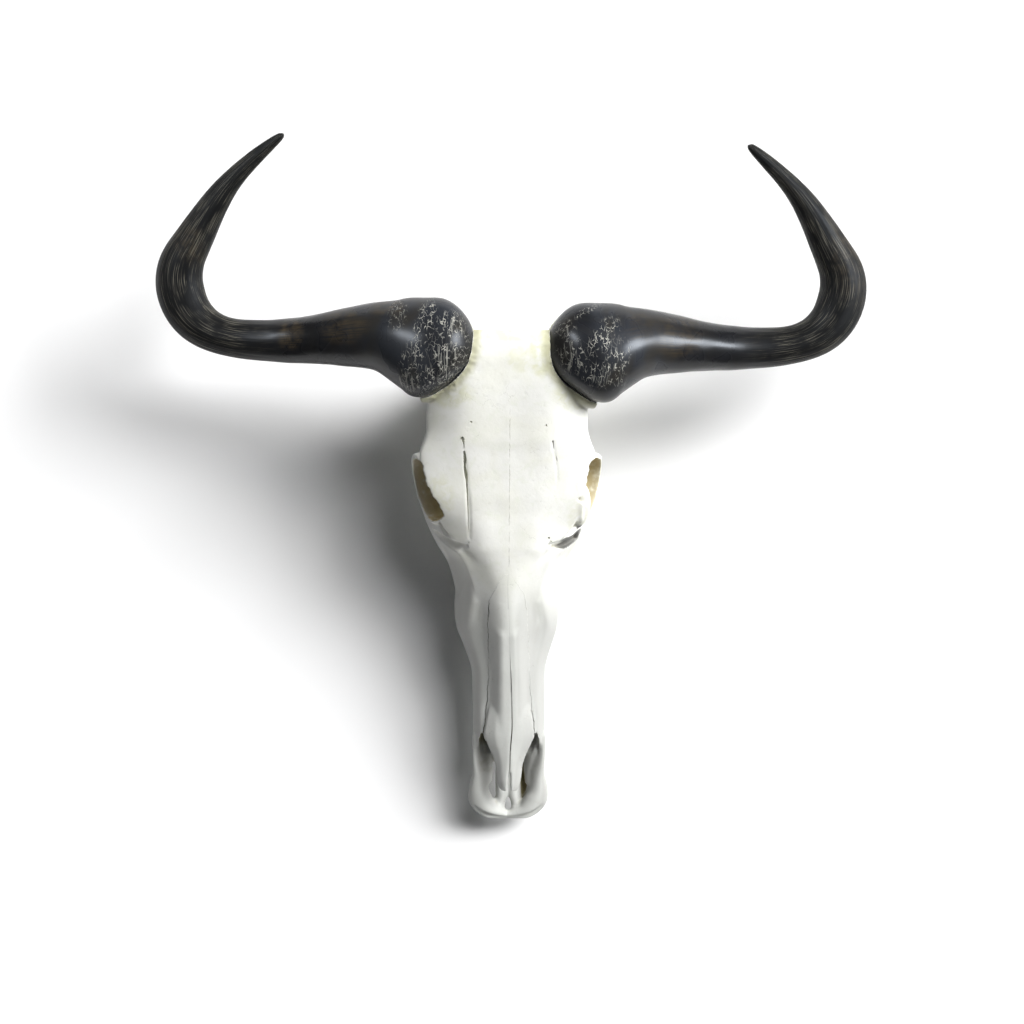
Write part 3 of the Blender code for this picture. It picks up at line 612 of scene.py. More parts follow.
def tube(name, rows, sign=1, flat=1.0, across=(0, 0, 1), sides=36, count=56):
    """A rounded bar through rows of (x, y, z, half width), given for the left side. Its size along `across`
    is `flat` times the width, or a fifth column where the rows have one."""
    path = smooth_path([(row[0] * sign, *row[1:]) for row in rows], count)
    rings = []
    for i, row in enumerate(path):
        ahead = Vector(path[min(i + 1, count - 1)][:3]) - Vector(path[max(i - 1, 0)][:3])
        side = ahead.cross(Vector(across)).normalized()
        up = side.cross(ahead).normalized()
        tall = row[4] if len(row) > 4 else row[3] * flat
        rings.append(ellipse(row[:3], side * row[3], up * tall, sides))
    return loft(name, rings)


def ellipse(centre, a, b, sides):
    turns = [2 * math.pi * i / sides for i in range(sides)]
    return [Vector(centre) + a * math.cos(t) + b * math.sin(t) for t in turns]


def both(make):
    """One piece for each side, from a function that takes the side's sign."""
    return [make(sign) for _, sign in SIDES]


def evaluated(obj, name):
    """A new object with the mesh that the modifiers of `obj` give. The old one is removed."""
    graph = bpy.context.evaluated_depsgraph_get()
    mesh = bpy.data.meshes.new_from_object(obj.evaluated_get(graph))
    remove([obj])
    mesh.name = name
    return new_object(name, mesh)


def joined(name, pieces):
    """One object that holds the meshes of all pieces, which are removed."""
    bm = bmesh.new()
    for piece in pieces:
        bm.from_mesh(piece.data)
    remove(pieces)
    return object_from(name, bm)


def fused(name, pieces, grain, soften):
    """Overlapping pieces as one closed skin, on a grid of `grain`, softened like worn bone."""
    obj = joined(name, pieces)
    remesh = obj.modifiers.new("grid", "REMESH")
    remesh.mode = "VOXEL"
    remesh.voxel_size = grain * MM
    smooth = obj.modifiers.new("soften", "SMOOTH")
    smooth.factor = 0.5
    smooth.iterations = soften
    return evaluated(obj, name)


def boolean(obj, others, operation, solver="MANIFOLD"):
    """`obj` after one Boolean with a collection of the other pieces, which are removed."""
    group = bpy.data.collections.new("others")
    for other in others:
        group.objects.link(other)
    cut = obj.modifiers.new(operation.lower(), "BOOLEAN")
    cut.operation = operation
    cut.solver = solver
    cut.operand_type = "COLLECTION"
    cut.collection = group
    name = obj.name
    done = evaluated(obj, name)
    remove(others)
    bpy.data.collections.remove(group)
    return done


def snout():
    rings = []
    for y, top, edge, drop, wide, wide_z, gum, gum_z, palate in stations(SNOUT, 130):
        share = ramp(y, SHELF_START, SHELF_FULL)
        flank_out, flank_up = (b + (f - b) * share for b, f in zip(FLANK_BACK, FLANK_FRONT))
        flank = (wide * flank_out, wide_z + (top - wide_z) * flank_up)
        half = [(0, top), (edge, top - drop), flank, (wide, wide_z), (gum, gum_z)]
        half += [(max(gum - GUM_WIDTH, 6), gum_z + 2), (0, palate)]
        on_slope = ((edge + flank[0]) / 2, (top - drop + flank[1]) / 2)
        shelf = (wide * SHELF_INNER[0], wide_z + (top - wide_z) * SHELF_INNER[1])
        half.insert(2, tuple(a + (b - a) * share for a, b in zip(on_slope, shelf)))
        lean = SNOUT_LEAN * ramp(y, LEAN_START, SNOUT[0][0]) ** 2
        rings.append([(x, at + lean * (z - LEAN_MIDDLE), z) for x, at, z in mirrored_ring(half, y)])
    return loft("snout", rings)


def forehead():
    rings = []
    for y, top, flat, edge, edge_z in stations(FOREHEAD, 130):
        low = top - FOREHEAD_DEPTH
        half = ((0, top), (flat, top - 1.5), (edge, edge_z))
        half += ((edge - 4, edge_z - 9), (edge * 0.6, low + 6), (0, low))
        rings.append(mirrored_ring(half, y))
    return loft("forehead", rings)


def braincase():
    rings = []
    for y, top, side, side_z, low, low_z, base in stations(BRAINCASE, 80):
        half = ((0, top), (side * 0.72, (top + side_z) / 2 + 12), (side, side_z), (low, low_z), (0, base))
        rings.append(mirrored_ring(half, y))
    return loft("braincase", rings)


def orbit_axes(sign):
    """The orbit's outward, lengthwise and upward directions on one side."""
    out = Vector((sign, -ORBIT_FORWARD, ORBIT_UP)).normalized()
    along = (Vector((0, 1, 0)) - out * out.y).normalized()
    return out, along, out.cross(along) * sign


def orbit_cone(name, sign, sections):
    """A round form on the orbit's axis, from sections of (distance out from the rim, share, shift back)."""
    out, along, up = orbit_axes(sign)
    centre = Vector((ORBIT_CENTRE[0] * sign, *ORBIT_CENTRE[1:]))
    rings = []
    for outward, share, back in smooth_path(sections, 40):
        middle = centre + out * outward + along * back
        rings.append(ellipse(middle, along * ORBIT_HALF_LENGTH * share, up * ORBIT_HALF_HEIGHT * share, 80))
    return loft(name, rings)


def orbit_barrel(sign):
    sections = ((-50, 0.62, 2), (-26, 0.86, 1), (-10, 0.98, 0), (-1, 1.01, 0), (2, 0.96, 0))
    return orbit_cone("barrel", sign, sections)


def orbit_socket(sign):
    share = 1 - ORBIT_WALL / ORBIT_HALF_LENGTH
    deep = -ORBIT_DEPTH
    sections = ((deep, 0.1, 8), (deep + 6, 0.42, 6), (-22, share * 0.95, 2), (0, share, 0), (30, 0.9, 0))
    return orbit_cone("socket", sign, sections)


def brow_jag(at):
    """How far the brow's worn edge strays at a place along it."""
    return 0.5 * math.sin(at * 0.55) + 0.4 * math.sin(at * 1.3 + 1) + 0.25 * math.sin(at * 2.9 + 2)


def brow_cut(sign):
    """Everything above the orbit's open side, outside the edge of the brow."""
    rings = []
    for y, edge, floor in smooth_path(BROW, BROW_RINGS):
        edge += brow_jag(y)
        if sign > 0:
            edge += BROW_LEFT_OUT * smooth_step(y, BROW_LEFT_START, BROW_LEFT_FULL) - BROW_LEFT_IN
        top, side = ROOM_TOP + 20, ROOM_SIDE + 30
        outline = ((edge, top), (side, top), (side, floor), (edge, floor))
        rings.append(outline_at(y, outline, sign))
    return loft("brow_cut", rings)


def cheek(sign):
    """The cheek bone, from the face's bulge over the first molars to the lower rim of the orbit."""
    rows = ((34, -116, 52, 9), (38, -92, 60, 10), (45, -66, 72, 10.5))
    rows += ((58, -42, 84, 11), (71, -16, 90, 9), (77, 2, 91, 7))
    return tube("cheek", rows, sign, flat=1.3)


def arch(sign):
    """The cheek arch, from below the orbit to the jaw joint."""
    rows = ((76, -10, 90, 6.5), (79, 10, 89, 6), (76, 28, 89, 5.5))
    rows += ((68, 46, 92, 6.5), (58, 60, 95, 9), (46, 72, 97, 12))
    return tube("arch", rows, sign, flat=1.5)


def face_wall(sign):
    """The wall in front of the orbit, from the edge of the forehead down to the cheek."""
    rings = []
    for y, top_x, top_z, bulge_x, bulge_z, low_x, low_z in smooth_path(FACE_WALL, 40):
        inner_x, inner_z = bulge_x - WALL_DEPTH, bulge_z - WALL_DEPTH
        outline = ((top_x, top_z), (bulge_x, bulge_z), (low_x, low_z), (low_x - WALL_DEPTH, low_z - 6))
        outline += ((inner_x, inner_z), (top_x - WALL_DEPTH / 2, top_z - WALL_DEPTH))
        rings.append(outline_at(y, outline, sign))
    return loft("face_wall", rings)


def pedicle(sign):
    """The bony stalk of the horn core. It stands out past the sheath on it as a low collar."""
    rings = []
    for place, across, depth in horn_frame(sign, COLLAR_RINGS):
        out = abs(place.x)
        if out < COLLAR_END:
            wide = across.length + COLLAR_OUT * ramp(out, COLLAR_END, COLLAR_FULL)
            inward = max(COLLAR_MIDDLE - out, 0) * COLLAR_OUT / (COLLAR_MIDDLE - HORN[0][0])
            sunk = place - Vector((inward * sign, COLLAR_FORWARD, COLLAR_DROP))
            rings.append(ellipse(sunk, across.normalized() * wide, depth.normalized() * COLLAR_DEPTH, 40))
    return loft("pedicle", rings)


def pedicle_skirt(sign):
    """Bone below the horn that runs down behind the orbit."""
    rows = ((54, 88, 158, 9), (57, 80, 146, 12), (57, 72, 126, 12), (54, 70, 104, 12))
    return tube("skirt", rows, sign, across=UPRIGHT, flat=1.2)


def skull_base():
    """Everything under the braincase: bar of bone, ears, condyles, jaw joints, processes and wings."""
    ear = ((34, 74, 74, 13), (48, 72, 84, 9), (57, 70, 90, 7))
    jugular = ((44, 112, 84, 15), (43, 111, 60, 11), (40, 109, 34, 7), (38, 107, 12, 5), (37, 106, -3, 4.5))
    wing = ((30, -46, 46, 5), (19, -24, 44, 4), (16, 0, 44, 4), (17, 18, 50, 5), (19, 34, 62, 7))
    pieces = [tube("base", ((0, 0, 68, 13), (0, 40, 62, 14), (0, 80, 56, 17), (0, 118, 56, 20)), flat=0.8)]
    for _, sign in SIDES:
        pieces += [
            ball("ear_capsule", (27 * sign, 72, 46), (11, 18, 15), (0, 0, -12 * sign)),
            tube("ear_tube", ear, sign, across=UPRIGHT),
            ball("condyle", (20 * sign, 128, 50), (13, 15, 22), (-24, 0, 14 * sign)),
            tube("jugular_process", jugular, sign, across=UPRIGHT, flat=1.5),
            tube("wing", wing, sign, flat=3.2),
            ball("jaw_joint", (54 * sign, 58, 92), (17, 13, 9)),
        ]
    return pieces


def nape_crest():
    """The ridge across the top of the occiput that the neck muscles pull on."""
    half = ((58, 112, 104, 6), (49, 127, 136, 5), (26, 133, 156, 5))
    rows = [*((-x, *rest) for x, *rest in half), (0, 135, 161, 6), *half[::-1]]
    return tube("crest", rows, across=UPRIGHT, count=80)


def premaxilla(sign):
    """The bone at the tip of the upper jaw: a leaning side branch that sweeps round to a broad end, and a
    thin inner branch."""
    outer = (
        (26, -228, 51, 4, 15),
        (26, -250, 45, 4.4, 14.5),
        (25.5, -268, 40, 6.2, 12.5),
        (27.8, -283, 36.5, 9, 10.5),
        (26, -294.5, 33.5, 11.5, 9.5),
        (18.5, -303.5, 31.5, 9.5, 8.5),
        (9.5, -307.5, 30, 6.6, 7),
        (-1, -310.5, 29, 3.4, 5),
    )
    inner = ((8.5, -306, 29, 5.5), (7.6, -298, 29.5, 5), (6, -288, 30.5, 6.2))
    inner += ((6.3, -265, 31, 6), (6, -244, 32, 5))
    flange = ((22, -230, 50, 3, 9), (21, -248, 44, 4, 9), (20, -264, 38, 4.5, 8), (21, -280, 35, 5, 7))
    leaning = (0.5 * sign, 0, 0.87)
    made = [
        tube("outer", outer, sign, across=leaning),
        tube("inner", inner, sign, flat=0.9),
        tube("flange", flange, sign, across=leaning),
    ]
    if sign > 0:
        shelf = ((13, -240, 29, 4.5), (14, -256, 25, 5), (14.5, -276, 23, 5.5), (14, -296, 25, 6))
        made.append(tube("shelf", shelf, flat=0.6))
    return made


def nasal_tip(sign):
    """The free end of one nasal bone, which overhangs the nostril."""
    rows = (
        (-196, 91, 17, 0.5),
        (-212, 90, 21, 0.5),
        (-228, 86, 23.5, 0.5),
        (-239, 82.5, 21, 0.5),
        (-248, 79.7, 17, 0.5),
        (-259, 76.3, 13.5, 0.8),
        (-273, 72, 12, 1),
        (-281, 69, 10, 1.2),
        (-285, 67.6, 6, 2.4),
    )
    rings = []
    for y, top, wide, inner in smooth_path(rows, 40):
        outline = (
            (inner, top),
            (wide * 0.55, top - 2),
            (wide, top - 8),
            (wide - 1, top - 11),
            (wide * 0.55, top - 6.5),
            (inner, top - 4.5),
        )
        rings.append(outline_at(y, outline, sign))
    return loft("nasal_tip", rings)


def nostril_side(sign):
    """The gap between the free edge of a nasal bone and the side wall of the snout."""
    rows = (
        (-228, 24.4, 25.4, 68),
        (-233, 23.2, 27.2, 60),
        (-240, 21.4, 27.8, 55),
        (-250, 17.2, 28, 53),
        (-262, 14, 27, 53),
        (-275, 12.4, 25, 54),
        (-288, 11, 20, 57),
    )
    rings = []
    for y, inner, outer, floor in smooth_path(rows, 24):
        outline = ((inner, ROOM_TOP), (outer, ROOM_TOP), (outer, floor), (inner, floor))
        rings.append(outline_at(y, outline, sign))
    return loft("nostril_side", rings)


def hollows():
    """Everything that the bone is open at: sockets, temples, nostril, throat and foramen magnum."""
    nostril = (
        (-300, 53, 10, 4),
        (-286, 50, 16, 10),
        (-264, 47, 21, 20),
        (-248, 45, 24, 27),
        (-232, 44, 26, 33),
        (-215, 44.5, 26, 39),
        (-195, 46, 24, 43),
        (-170, 52, 18, 34),
        (-145, 62, 6, 12),
    )
    rings = []
    for y, floor, wide, high in smooth_path(nostril, 48):
        half = ((0, floor + high), (wide * 0.7, floor + high * 0.86), (wide, floor + high * 0.4))
        half += ((wide * 0.7, floor + 1), (0, floor))
        rings.append(mirrored_ring(half, y, 64))
    cutters = [
        loft("nostril", rings),
        *both(nostril_side),
        tube("foramen_magnum", ((0, 168, 60, 17), (0, 136, 62, 16), (0, 112, 70, 15), (0, 96, 80, 9))),
        tube("throat", ((0, 30, 42, 12), (0, -4, 42, 12), (0, -34, 46, 11), (0, -58, 50, 6)), flat=1.2),
    ]
    for _, sign in SIDES:
        cutters += [
            orbit_socket(sign),
            brow_cut(sign),
            tube("lip_groove", LIP_GROOVE, sign),
            ball("temple", (64 * sign, 50, 122), (19, 14, 30), (0, 12 * sign, 14 * sign)),
            ball("temple_way", (52 * sign, 26, 116), (12, 20, 17)),
            tube("tear_fossa", TEAR_FOSSA, sign),
        ]
    return [*cutters, tube("tear_slot", TEAR_SLOT)]


def channel_cuts(roof, channels):
    """Cutters for vessels' channels, laid on the roof's surface."""
    cutters = []
    for rows in channels:
        tops = [height_at(roof, x, y) + CHANNEL_CLEAR for x, y, _, _ in rows]
        path = [(x, y, top, half, deep + CHANNEL_CLEAR) for top, (x, y, half, deep) in zip(tops, rows)]
        cutters.append(tube("channel", path, sides=16, count=30))
    return cutters


def hole_cuts(roof):
    """Cutters for the holes that vessels leave the bone by."""
    cutters = []
    for x, y, radius in FORAMINA:
        top = height_at(roof, x, y)
        end = (x, y + 3, top - HOLE_DEPTH, radius * 0.5)
        path = ((x, y - 1, top + 3, radius), (x, y, top - 1, radius), end)
        cutters.append(tube("hole", path, across=UPRIGHT, sides=16, count=10))
    return cutters


def height_at(surface, x, y):
    """The height of the surface at a place in plan, seen from above."""
    hit = surface.ray_cast(Vector((x, y, 300)) * MM, Vector((0, 0, -1)))[0]
    return hit.z / MM


def surface_of(obj):
    return BVHTree.FromObject(obj, bpy.context.evaluated_depsgraph_get())


def bone_clay():
    """The whole bone in one closed surface, before it is parted."""
    pieces = [snout(), forehead(), braincase(), nape_crest(), *skull_base()]
    for make in (orbit_barrel, cheek, face_wall, arch, pedicle, pedicle_skirt, nasal_tip):
        pieces += both(make)
    for _, sign in SIDES:
        pieces += premaxilla(sign)
    solid = fused("bone", pieces, GRAIN, SOFTEN)
    hollowed = boolean(solid, hollows() + channel_cuts(surface_of(solid), GROOVES), "DIFFERENCE")
    return fused("bone", [hollowed, tube("brow_front", BROW_FRONT)], GRAIN, RESOFTEN)


def suture_wiggle(at):
    """How far a suture strays from its smooth course at a place along it."""
    return 0.35 * math.sin(at * 0.31) + 0.22 * math.sin(at * 0.83 + 1) + 0.12 * math.sin(at * 1.9 + 2)


def nasal_region(sign=0):
    """The space of the nasal bone on the side of `sign` or, without one, of both and the gap round them."""
    rings = []
    for y, wide, ridge, *gaps in stations(NASAL, 120):
        grow_right, grow_left = (0 if sign else max(gap, SEAM_LEAST) for gap in gaps)
        stray, gape = between(NASAL_MIDDLE, y)
        left = wide + suture_wiggle(y) + grow_left
        right = -wide + suture_wiggle(y + 40) - grow_right
        ridge -= max(grow_left, grow_right) * 1.1
        at = y + grow_left if y > NASAL[0][0] else y
        edges = {1: (stray + gape / 2, left), -1: (right, stray - gape / 2), 0: (right, left)}
        low, high = edges[sign]
        outline = [(low, ROOM_TOP), (high, ROOM_TOP), (high, ridge - NASAL_PITCH * abs(high))]
        if not sign:
            outline.append((0, ridge))
        outline.append((low, ridge - NASAL_PITCH * abs(low)))
        rings.append(outline_at(at, outline))
    return loft("nasal_region", rings)


def premaxilla_region(grow=0.0, sign=0):
    """The space of both premaxillae, grown by `grow`, or of the one on the side that `sign` gives."""
    middle = Vector((0, -290, 30))
    rings = []
    for x in (SEAM / 2 * sign, ROOM_SIDE * sign) if sign else (-ROOM_SIDE, ROOM_SIDE):
        ring = []
        for y, z in PREMAXILLA_OUTLINE:
            away = (Vector((0, y, z)) - middle).normalized() * grow * math.sqrt(2)
            ring.append((x, y + away.y, z + away.z))
        rings.append(ring)
    return loft("premaxilla_region", rings)


def part_bones(whole):
    """The cranium and, by thin cuts along their sutures, the nasal bones and premaxillae."""
    bones = {}
    for label, region in (("nasal", nasal_region), ("premaxilla", premaxilla_region)):
        for side, sign in SIDES:
            bone = new_object("bone", whole.data.copy())
            bones[f"{label}_{side}"] = boolean(bone, [region(sign=sign)], "INTERSECT")
    return boolean(whole, [nasal_region(), premaxilla_region(SEAM)], "DIFFERENCE"), bones


def lengths_along(rows):
    """How far along the path each of its rows is reached."""
    return np.concatenate([[0], np.cumsum(np.linalg.norm(np.diff(rows, axis=0), axis=1))])


def horn_frame(sign, count, grow=0.0):
    """The horn's rings, evenly spread along it: each one's centre, and its half axes across and in depth."""
    dense = np.array(smooth_path(HORN, HORN_SAMPLES))
    share = np.linspace(0, 1, HORN_SAMPLES)
    if sign > 0:
        dense[:, 0] += LEFT_OUTWARD * share**3 - LEFT_INWARD
        dense[:, 1] -= LEFT_FORWARD + LEFT_FORWARD_TIP * share
    for _ in range(HORN_SMOOTHING):
        dense[1:-1] = (dense[:-2] + 2 * dense[1:-1] + dense[2:]) / 4
    dense[:, 0] *= sign
    reached = lengths_along(dense)
    even = np.linspace(0, reached[-1], count)
    spread = np.array([np.interp(even, reached, column) for column in dense.T]).T
    places = [Vector(row[:3]) for row in spread]
    places[0] -= (places[1] - places[0]).normalized() * grow
    rows = []
    for i, (place, (high, deep)) in enumerate(zip(places, spread[:, 3:] + grow)):
        ahead = (places[min(i + 1, count - 1)] - places[max(i - 1, 0)]).normalized()
        turned = ramp(abs(place.x), BOSS_END, TURN_END)
        ahead = (Vector((sign, 0, ahead.z)) * (1 - turned) + ahead * turned).normalized()
        across = Vector((0, 0, 1)).cross(ahead).normalized()
        depth = ahead.cross(across).normalized()
        rows.append((place, across * high, depth * deep))
    return rows


def horn(name, rows, sides, share=1.0):
    """A horn through the rings of its frame, at a share of their size."""
    return loft(name, [ellipse(place, a * share, b * share, sides) for place, a, b in rows])


def bend(obj):
    """Lets the bone's middle stray to one side along its length, as the real skull's does."""
    places, strays = zip(*stations(MIDLINE, 200))
    points = numbers_of(obj.data.vertices, "co")
    points[:, 0] += np.interp(points[:, 1] / MM, places, strays) * MM
    obj.data.vertices.foreach_set("co", points.ravel())


def floor_block():
    """Everything below the floor, which cuts the tips of the jugular processes flat."""
    rings = [[(x, y, z) for x, y in ((-200, -400), (200, -400), (200, 400), (-200, 400))] for z in (-60, 0)]
    return loft("floor_block", rings)


def tooth(place, middle, length, width, lobes):
    """One cheek tooth, with its root in the jaw and its worn face on the floor."""
    rings = []
    for z, swell in ((0, 0.94), (5, 1.0), (TEETH_ROOT, 0.86)):
        ring = []
        for i in range(16):
            turn = 2 * math.pi * i / 16
            y, x = math.cos(turn), math.sin(turn)
            pinch = 1 - 0.22 * math.exp(-((y / 0.3) ** 2)) if lobes == 2 else 1
            x = math.copysign(abs(x) ** 0.7, x) * pinch
            y = math.copysign(abs(y) ** 0.8, y)
            ring.append((middle + x * width / 2 * swell, place + y * length / 2 * swell, z))
        rings.append(ring)
    return loft("tooth", rings)


def teeth(sign):
    row = sum(length for length, _, _ in TEETH)
    made, back = [], 0
    for length, width, lobes in reversed(TEETH):
        place = TEETH_BACK - back - length / 2
        share = (back + length / 2) / row
        middle = TEETH_MIDDLE_BACK + (TEETH_MIDDLE_FRONT - TEETH_MIDDLE_BACK) * share
        made.append(tooth(place, middle * sign, length, width, lobes))
        back += length
    return made


def numbers_of(items, name, width=3, kind=np.float32):
    """The numbers that a mesh keeps under a name, in one row for each item."""
    flat = np.empty(len(items) * width, kind)
    items.foreach_get(name, flat)
    return flat.reshape(-1, width)


def points_of(obj):
    """The piece's points as rows, in millimetres."""
    return numbers_of(obj.data.vertices, "co").astype(float) / MM


def set_points(obj, points):
    obj.data.vertices.foreach_set("co", (points * MM).astype(np.float32).ravel())
    obj.data.update()


def normals_of(obj):
    return numbers_of(obj.data.vertex_normals, "vector").astype(float)


def hashed(cells, seed):
    """A fixed number from 0 to 1 for each whole-numbered cell, without any visible order."""
    mixed = cells[:, 0] * 73856093 ^ cells[:, 1] * 19349663 ^ cells[:, 2] * 83492791 ^ seed * 2654435
    mixed = (mixed ^ (mixed >> 13)) * 1274126177
    return ((mixed ^ (mixed >> 16)) & 0xFFFFFF) / 0xFFFFFF


def noise(points, size, seed=0):
    """Smooth noise from -1 to 1 at each point, with features about `size` across."""
    at = points / size
    cells = np.floor(at).astype(np.int64)
    t = at - cells
    t = t * t * (3 - 2 * t)
    total = np.zeros(len(points))
    for corner in itertools.product((0, 1), repeat=3):
        share = np.prod(np.where(corner, t, 1 - t), axis=1)
        total += share * hashed(cells + corner, seed)
    return total * 2 - 1


def smooth_step(values, start, end):
    t = np.clip((values - start) / (end - start), 0, 1)
    return t * t * (3 - 2 * t)


def averaged(obj, values, rounds):
    """The values of the points, each taken again and again as the mean of its neighbours'."""
    a, b = numbers_of(obj.data.edges, "vertices", 2, np.int32).T
    ends, others = np.concatenate([a, b]), np.concatenate([b, a])
    count = np.bincount(ends, minlength=len(values))[:, None]
    for _ in range(rounds):
        sums = [np.bincount(ends, column[others], len(values)) for column in values.T]
        values = np.array(sums).T / count
    return values


def mark(obj, names, columns):
    """Keeps numbers for each point of the piece, one column under each name, for its material."""
    for name, values in zip(names, columns):
        layer = obj.data.attributes.new(name, "FLOAT", "POINT")
        layer.data.foreach_set("value", np.asarray(values, np.float32))


def patches(points, rows, normals=None):
    """How strongly each point lies in a soft round patch and, with normals, faces the patch's middle."""
    most = np.zeros(len(points))
    for middle, reach, strength in rows:
        away = np.array(middle) - points
        share = strength * smooth_step(np.linalg.norm(away / reach, axis=1), 1.0, 0.7)
        if normals is not None:
            ahead = np.sum(away * normals, axis=1) / np.maximum(np.linalg.norm(away, axis=1), 1e-6)
            share *= smooth_step(ahead, 0.0, 0.35)
        most = np.maximum(most, share)
    return most


def spots(points, rows):
    """How strongly each point lies in one of the soft ellipses that are seen from above."""
    most = np.zeros(len(points))
    for x, y, wide, long, turn, strength in rows:
        angle = math.radians(turn)
        dx, dy = points[:, 0] - x, points[:, 1] - y
        across = (dx * math.cos(angle) + dy * math.sin(angle)) / wide
        along = (dy * math.cos(angle) - dx * math.sin(angle)) / long
        most = np.maximum(most, strength * smooth_step(np.hypot(across, along), 1.25, 0.55))
    return most


def wear_down(obj):
    """Rounds off the ridges in the worn places."""
    points = points_of(obj)
    worn = patches(points, WORN)[:, None]
    set_points(obj, points + worn * (averaged(obj, points, WORN_ROUNDS) - points))


def weathered(obj, horns):
    """Gives a bone its uneven, pitted surface and the marks that its material reads, painted shade among
    them.
    """
    points, normals = points_of(obj), normals_of(obj)
    rise = sum(height * noise(points, size, i) for i, (size, height) in enumerate(BONE_RELIEF))
    pitted = smooth_step(noise(points, PIT_PATCH, 9), 0.15, 0.55)
    pitted *= smooth_step(noise(points, PIT_SIZE, 5), 0.5, 0.85)
    rise -= PIT_DEPTH * pitted
    near = np.zeros(len(points))
    for i in np.flatnonzero((points[:, 1] > BURR_FROM_Y) & (points[:, 2] > BURR_FROM_Z)):
        gap = horns.find_nearest(Vector(points[i]) * MM)[3] / MM
        near[i] = max(1 - gap / BURR_REACH, 0)
    burr = near * noise(points, BURR_SIZE, 21)
    rise += BURR_HEIGHT * burr - 0.3 * near * pitted
    rise *= smooth_step(points[:, 2], RELIEF_START, RELIEF_FULL)
    smoothed = averaged(obj, points, HOLLOW_ROUNDS)
    hollow = np.sum((smoothed - points) * normals, axis=1)
    set_points(obj, points + normals * rise[:, None])
    pores = np.clip(pitted + near * smooth_step(burr, 0.1, -0.5), 0, 1)
    inside = [patches(points, rows, normals) for rows in (STAINS_AND_SHADE, OCHRE, TEAR_HOLLOW_SHADE)]
    # Painted shade: greys walls facing the animal's right, away from the suns, and the snout's sunward flank.
    right_wall_shade = smooth_step(-normals[:, 0], 0.5, 0.95)
    left_flank_shade = smooth_step(normals[:, 0], 0.15, 0.6) * smooth_step(points[:, 1], -60, -130)
    painted_wall_shade = np.maximum(right_wall_shade, 0.8 * left_flank_shade)
    mark(obj, BONE_MARKS, (np.clip(hollow, -2, 2), pores, near, *inside, patches(points, YELLOWED), painted_wall_shade))


def sheath(sign):
    """One horn's sheath, with its fibres, and with the marks that its material reads."""
    rows = horn_frame(sign, HORN_RINGS)
    made = horn("sheath", rows, HORN_SIDES, HORN_SHARE)
    reached = lengths_along(np.array([place for place, _, _ in rows]))
    turns = 2 * np.pi * np.arange(HORN_SIDES) / HORN_SIDES
    lie = np.zeros((len(made.data.vertices), 3))
    lie[:-2, 0] = np.tile(np.cos(turns), HORN_RINGS) * SHEATH_GIRTH
    lie[:-2, 1] = np.tile(np.sin(turns), HORN_RINGS) * SHEATH_GIRTH
    lie[:-2, 2] = np.repeat(reached, HORN_SIDES)
    lie[-1, 2] = reached[-1]
    share = lie[:, 2] / reached[-1]
    fibre = smooth_step(share, FIBRE_START, FIBRE_FULL)
    points, normals = points_of(made), normals_of(made)
    rise = np.zeros(len(points))
    for i, (across, length, height) in enumerate((*SHEATH_RELIEF, FIBRE_RELIEF)):
        strength = fibre if i == len(SHEATH_RELIEF) else 1 - 0.6 * fibre
        rise += strength * height * (noise(lie / (across, across, length), 1, 40 + i) - 0.9)
    rise *= smooth_step(share, 0, 0.02) * smooth_step(share, 1, 0.93)
    set_points(made, points + normals * rise[:, None])
    layer = made.data.attributes.new("lie", "FLOAT_VECTOR", "POINT")
    layer.data.foreach_set("vector", (lie * MM).astype(np.float32).ravel())
    seen = [spots(points, rows) for rows in (CRACKLED, SWEPT, AMBER)]
    mark(made, HORN_MARKS, (fibre, smooth_step(share, SHAFT_START, SHAFT_FULL), *seen))
    return made


def feed(made, inputs):
    """Links each input that is named to another node's output, or gives it a fixed value."""
    for key, value in inputs.items():
        socket = made.inputs[key]
        if isinstance(value, bpy.types.NodeSocket):
            made.id_data.links.new(value, socket)
        elif socket.type == "RGBA":
            socket.default_value = (*value, 1)
        else:
            socket.default_value = value


def node(near, kind, inputs, **settings):
    """A new shader node in the tree that `near` belongs to."""
    made = near.id_data.nodes.new("ShaderNode" + kind)
    for name, value in settings.items():
        setattr(made, name, value)
    feed(made, inputs)
    return made


def calc(operation, *values):
    return node(values[0], "Math", dict(enumerate(values)), operation=operation).outputs["Value"]


def product(*values):
    made = values[0]
    for value in values[1:]:
        made = calc("MULTIPLY", made, value)
    return made


def step(value, start, end):
    """0 before `start`, 1 after `end`, and a smooth rise between them."""
    inputs = {"Value": value, "From Min": start, "From Max": end}
    return node(value, "MapRange", inputs, interpolation_type="SMOOTHSTEP").outputs["Result"]


def coated(colour, *coats):
    """The colour, changed into each coat's colour by the coat's share, one after the other."""
    for share, coat in coats:
        colour = node(share, "Mix", {"Factor": share, 6: colour, 7: coat}, data_type="RGBA").outputs[2]
    return colour


def attribute(near, name, output="Fac"):
    return node(near, "Attribute", {}, attribute_name=name).outputs[output]


def own_place(near):
    return node(near, "TexCoord", {}).outputs["Object"]


def along(where, axis):
    """How far the place lies along one axis."""
    return node(where, "SeparateXYZ", {0: where}).outputs[axis]


def stretched(where, scale):
    return node(where, "Mapping", {"Vector": where, "Scale": scale}).outputs["Vector"]


def grain(where, size, detail=3, distortion=0.0):
    """Noise from 0 to 1 with features about `size` millimetres across."""
    inputs = {"Vector": where, "Scale": 1 / (size * MM), "Detail": detail, "Distortion": distortion}
    return node(where, "TexNoise", inputs).outputs["Fac"]


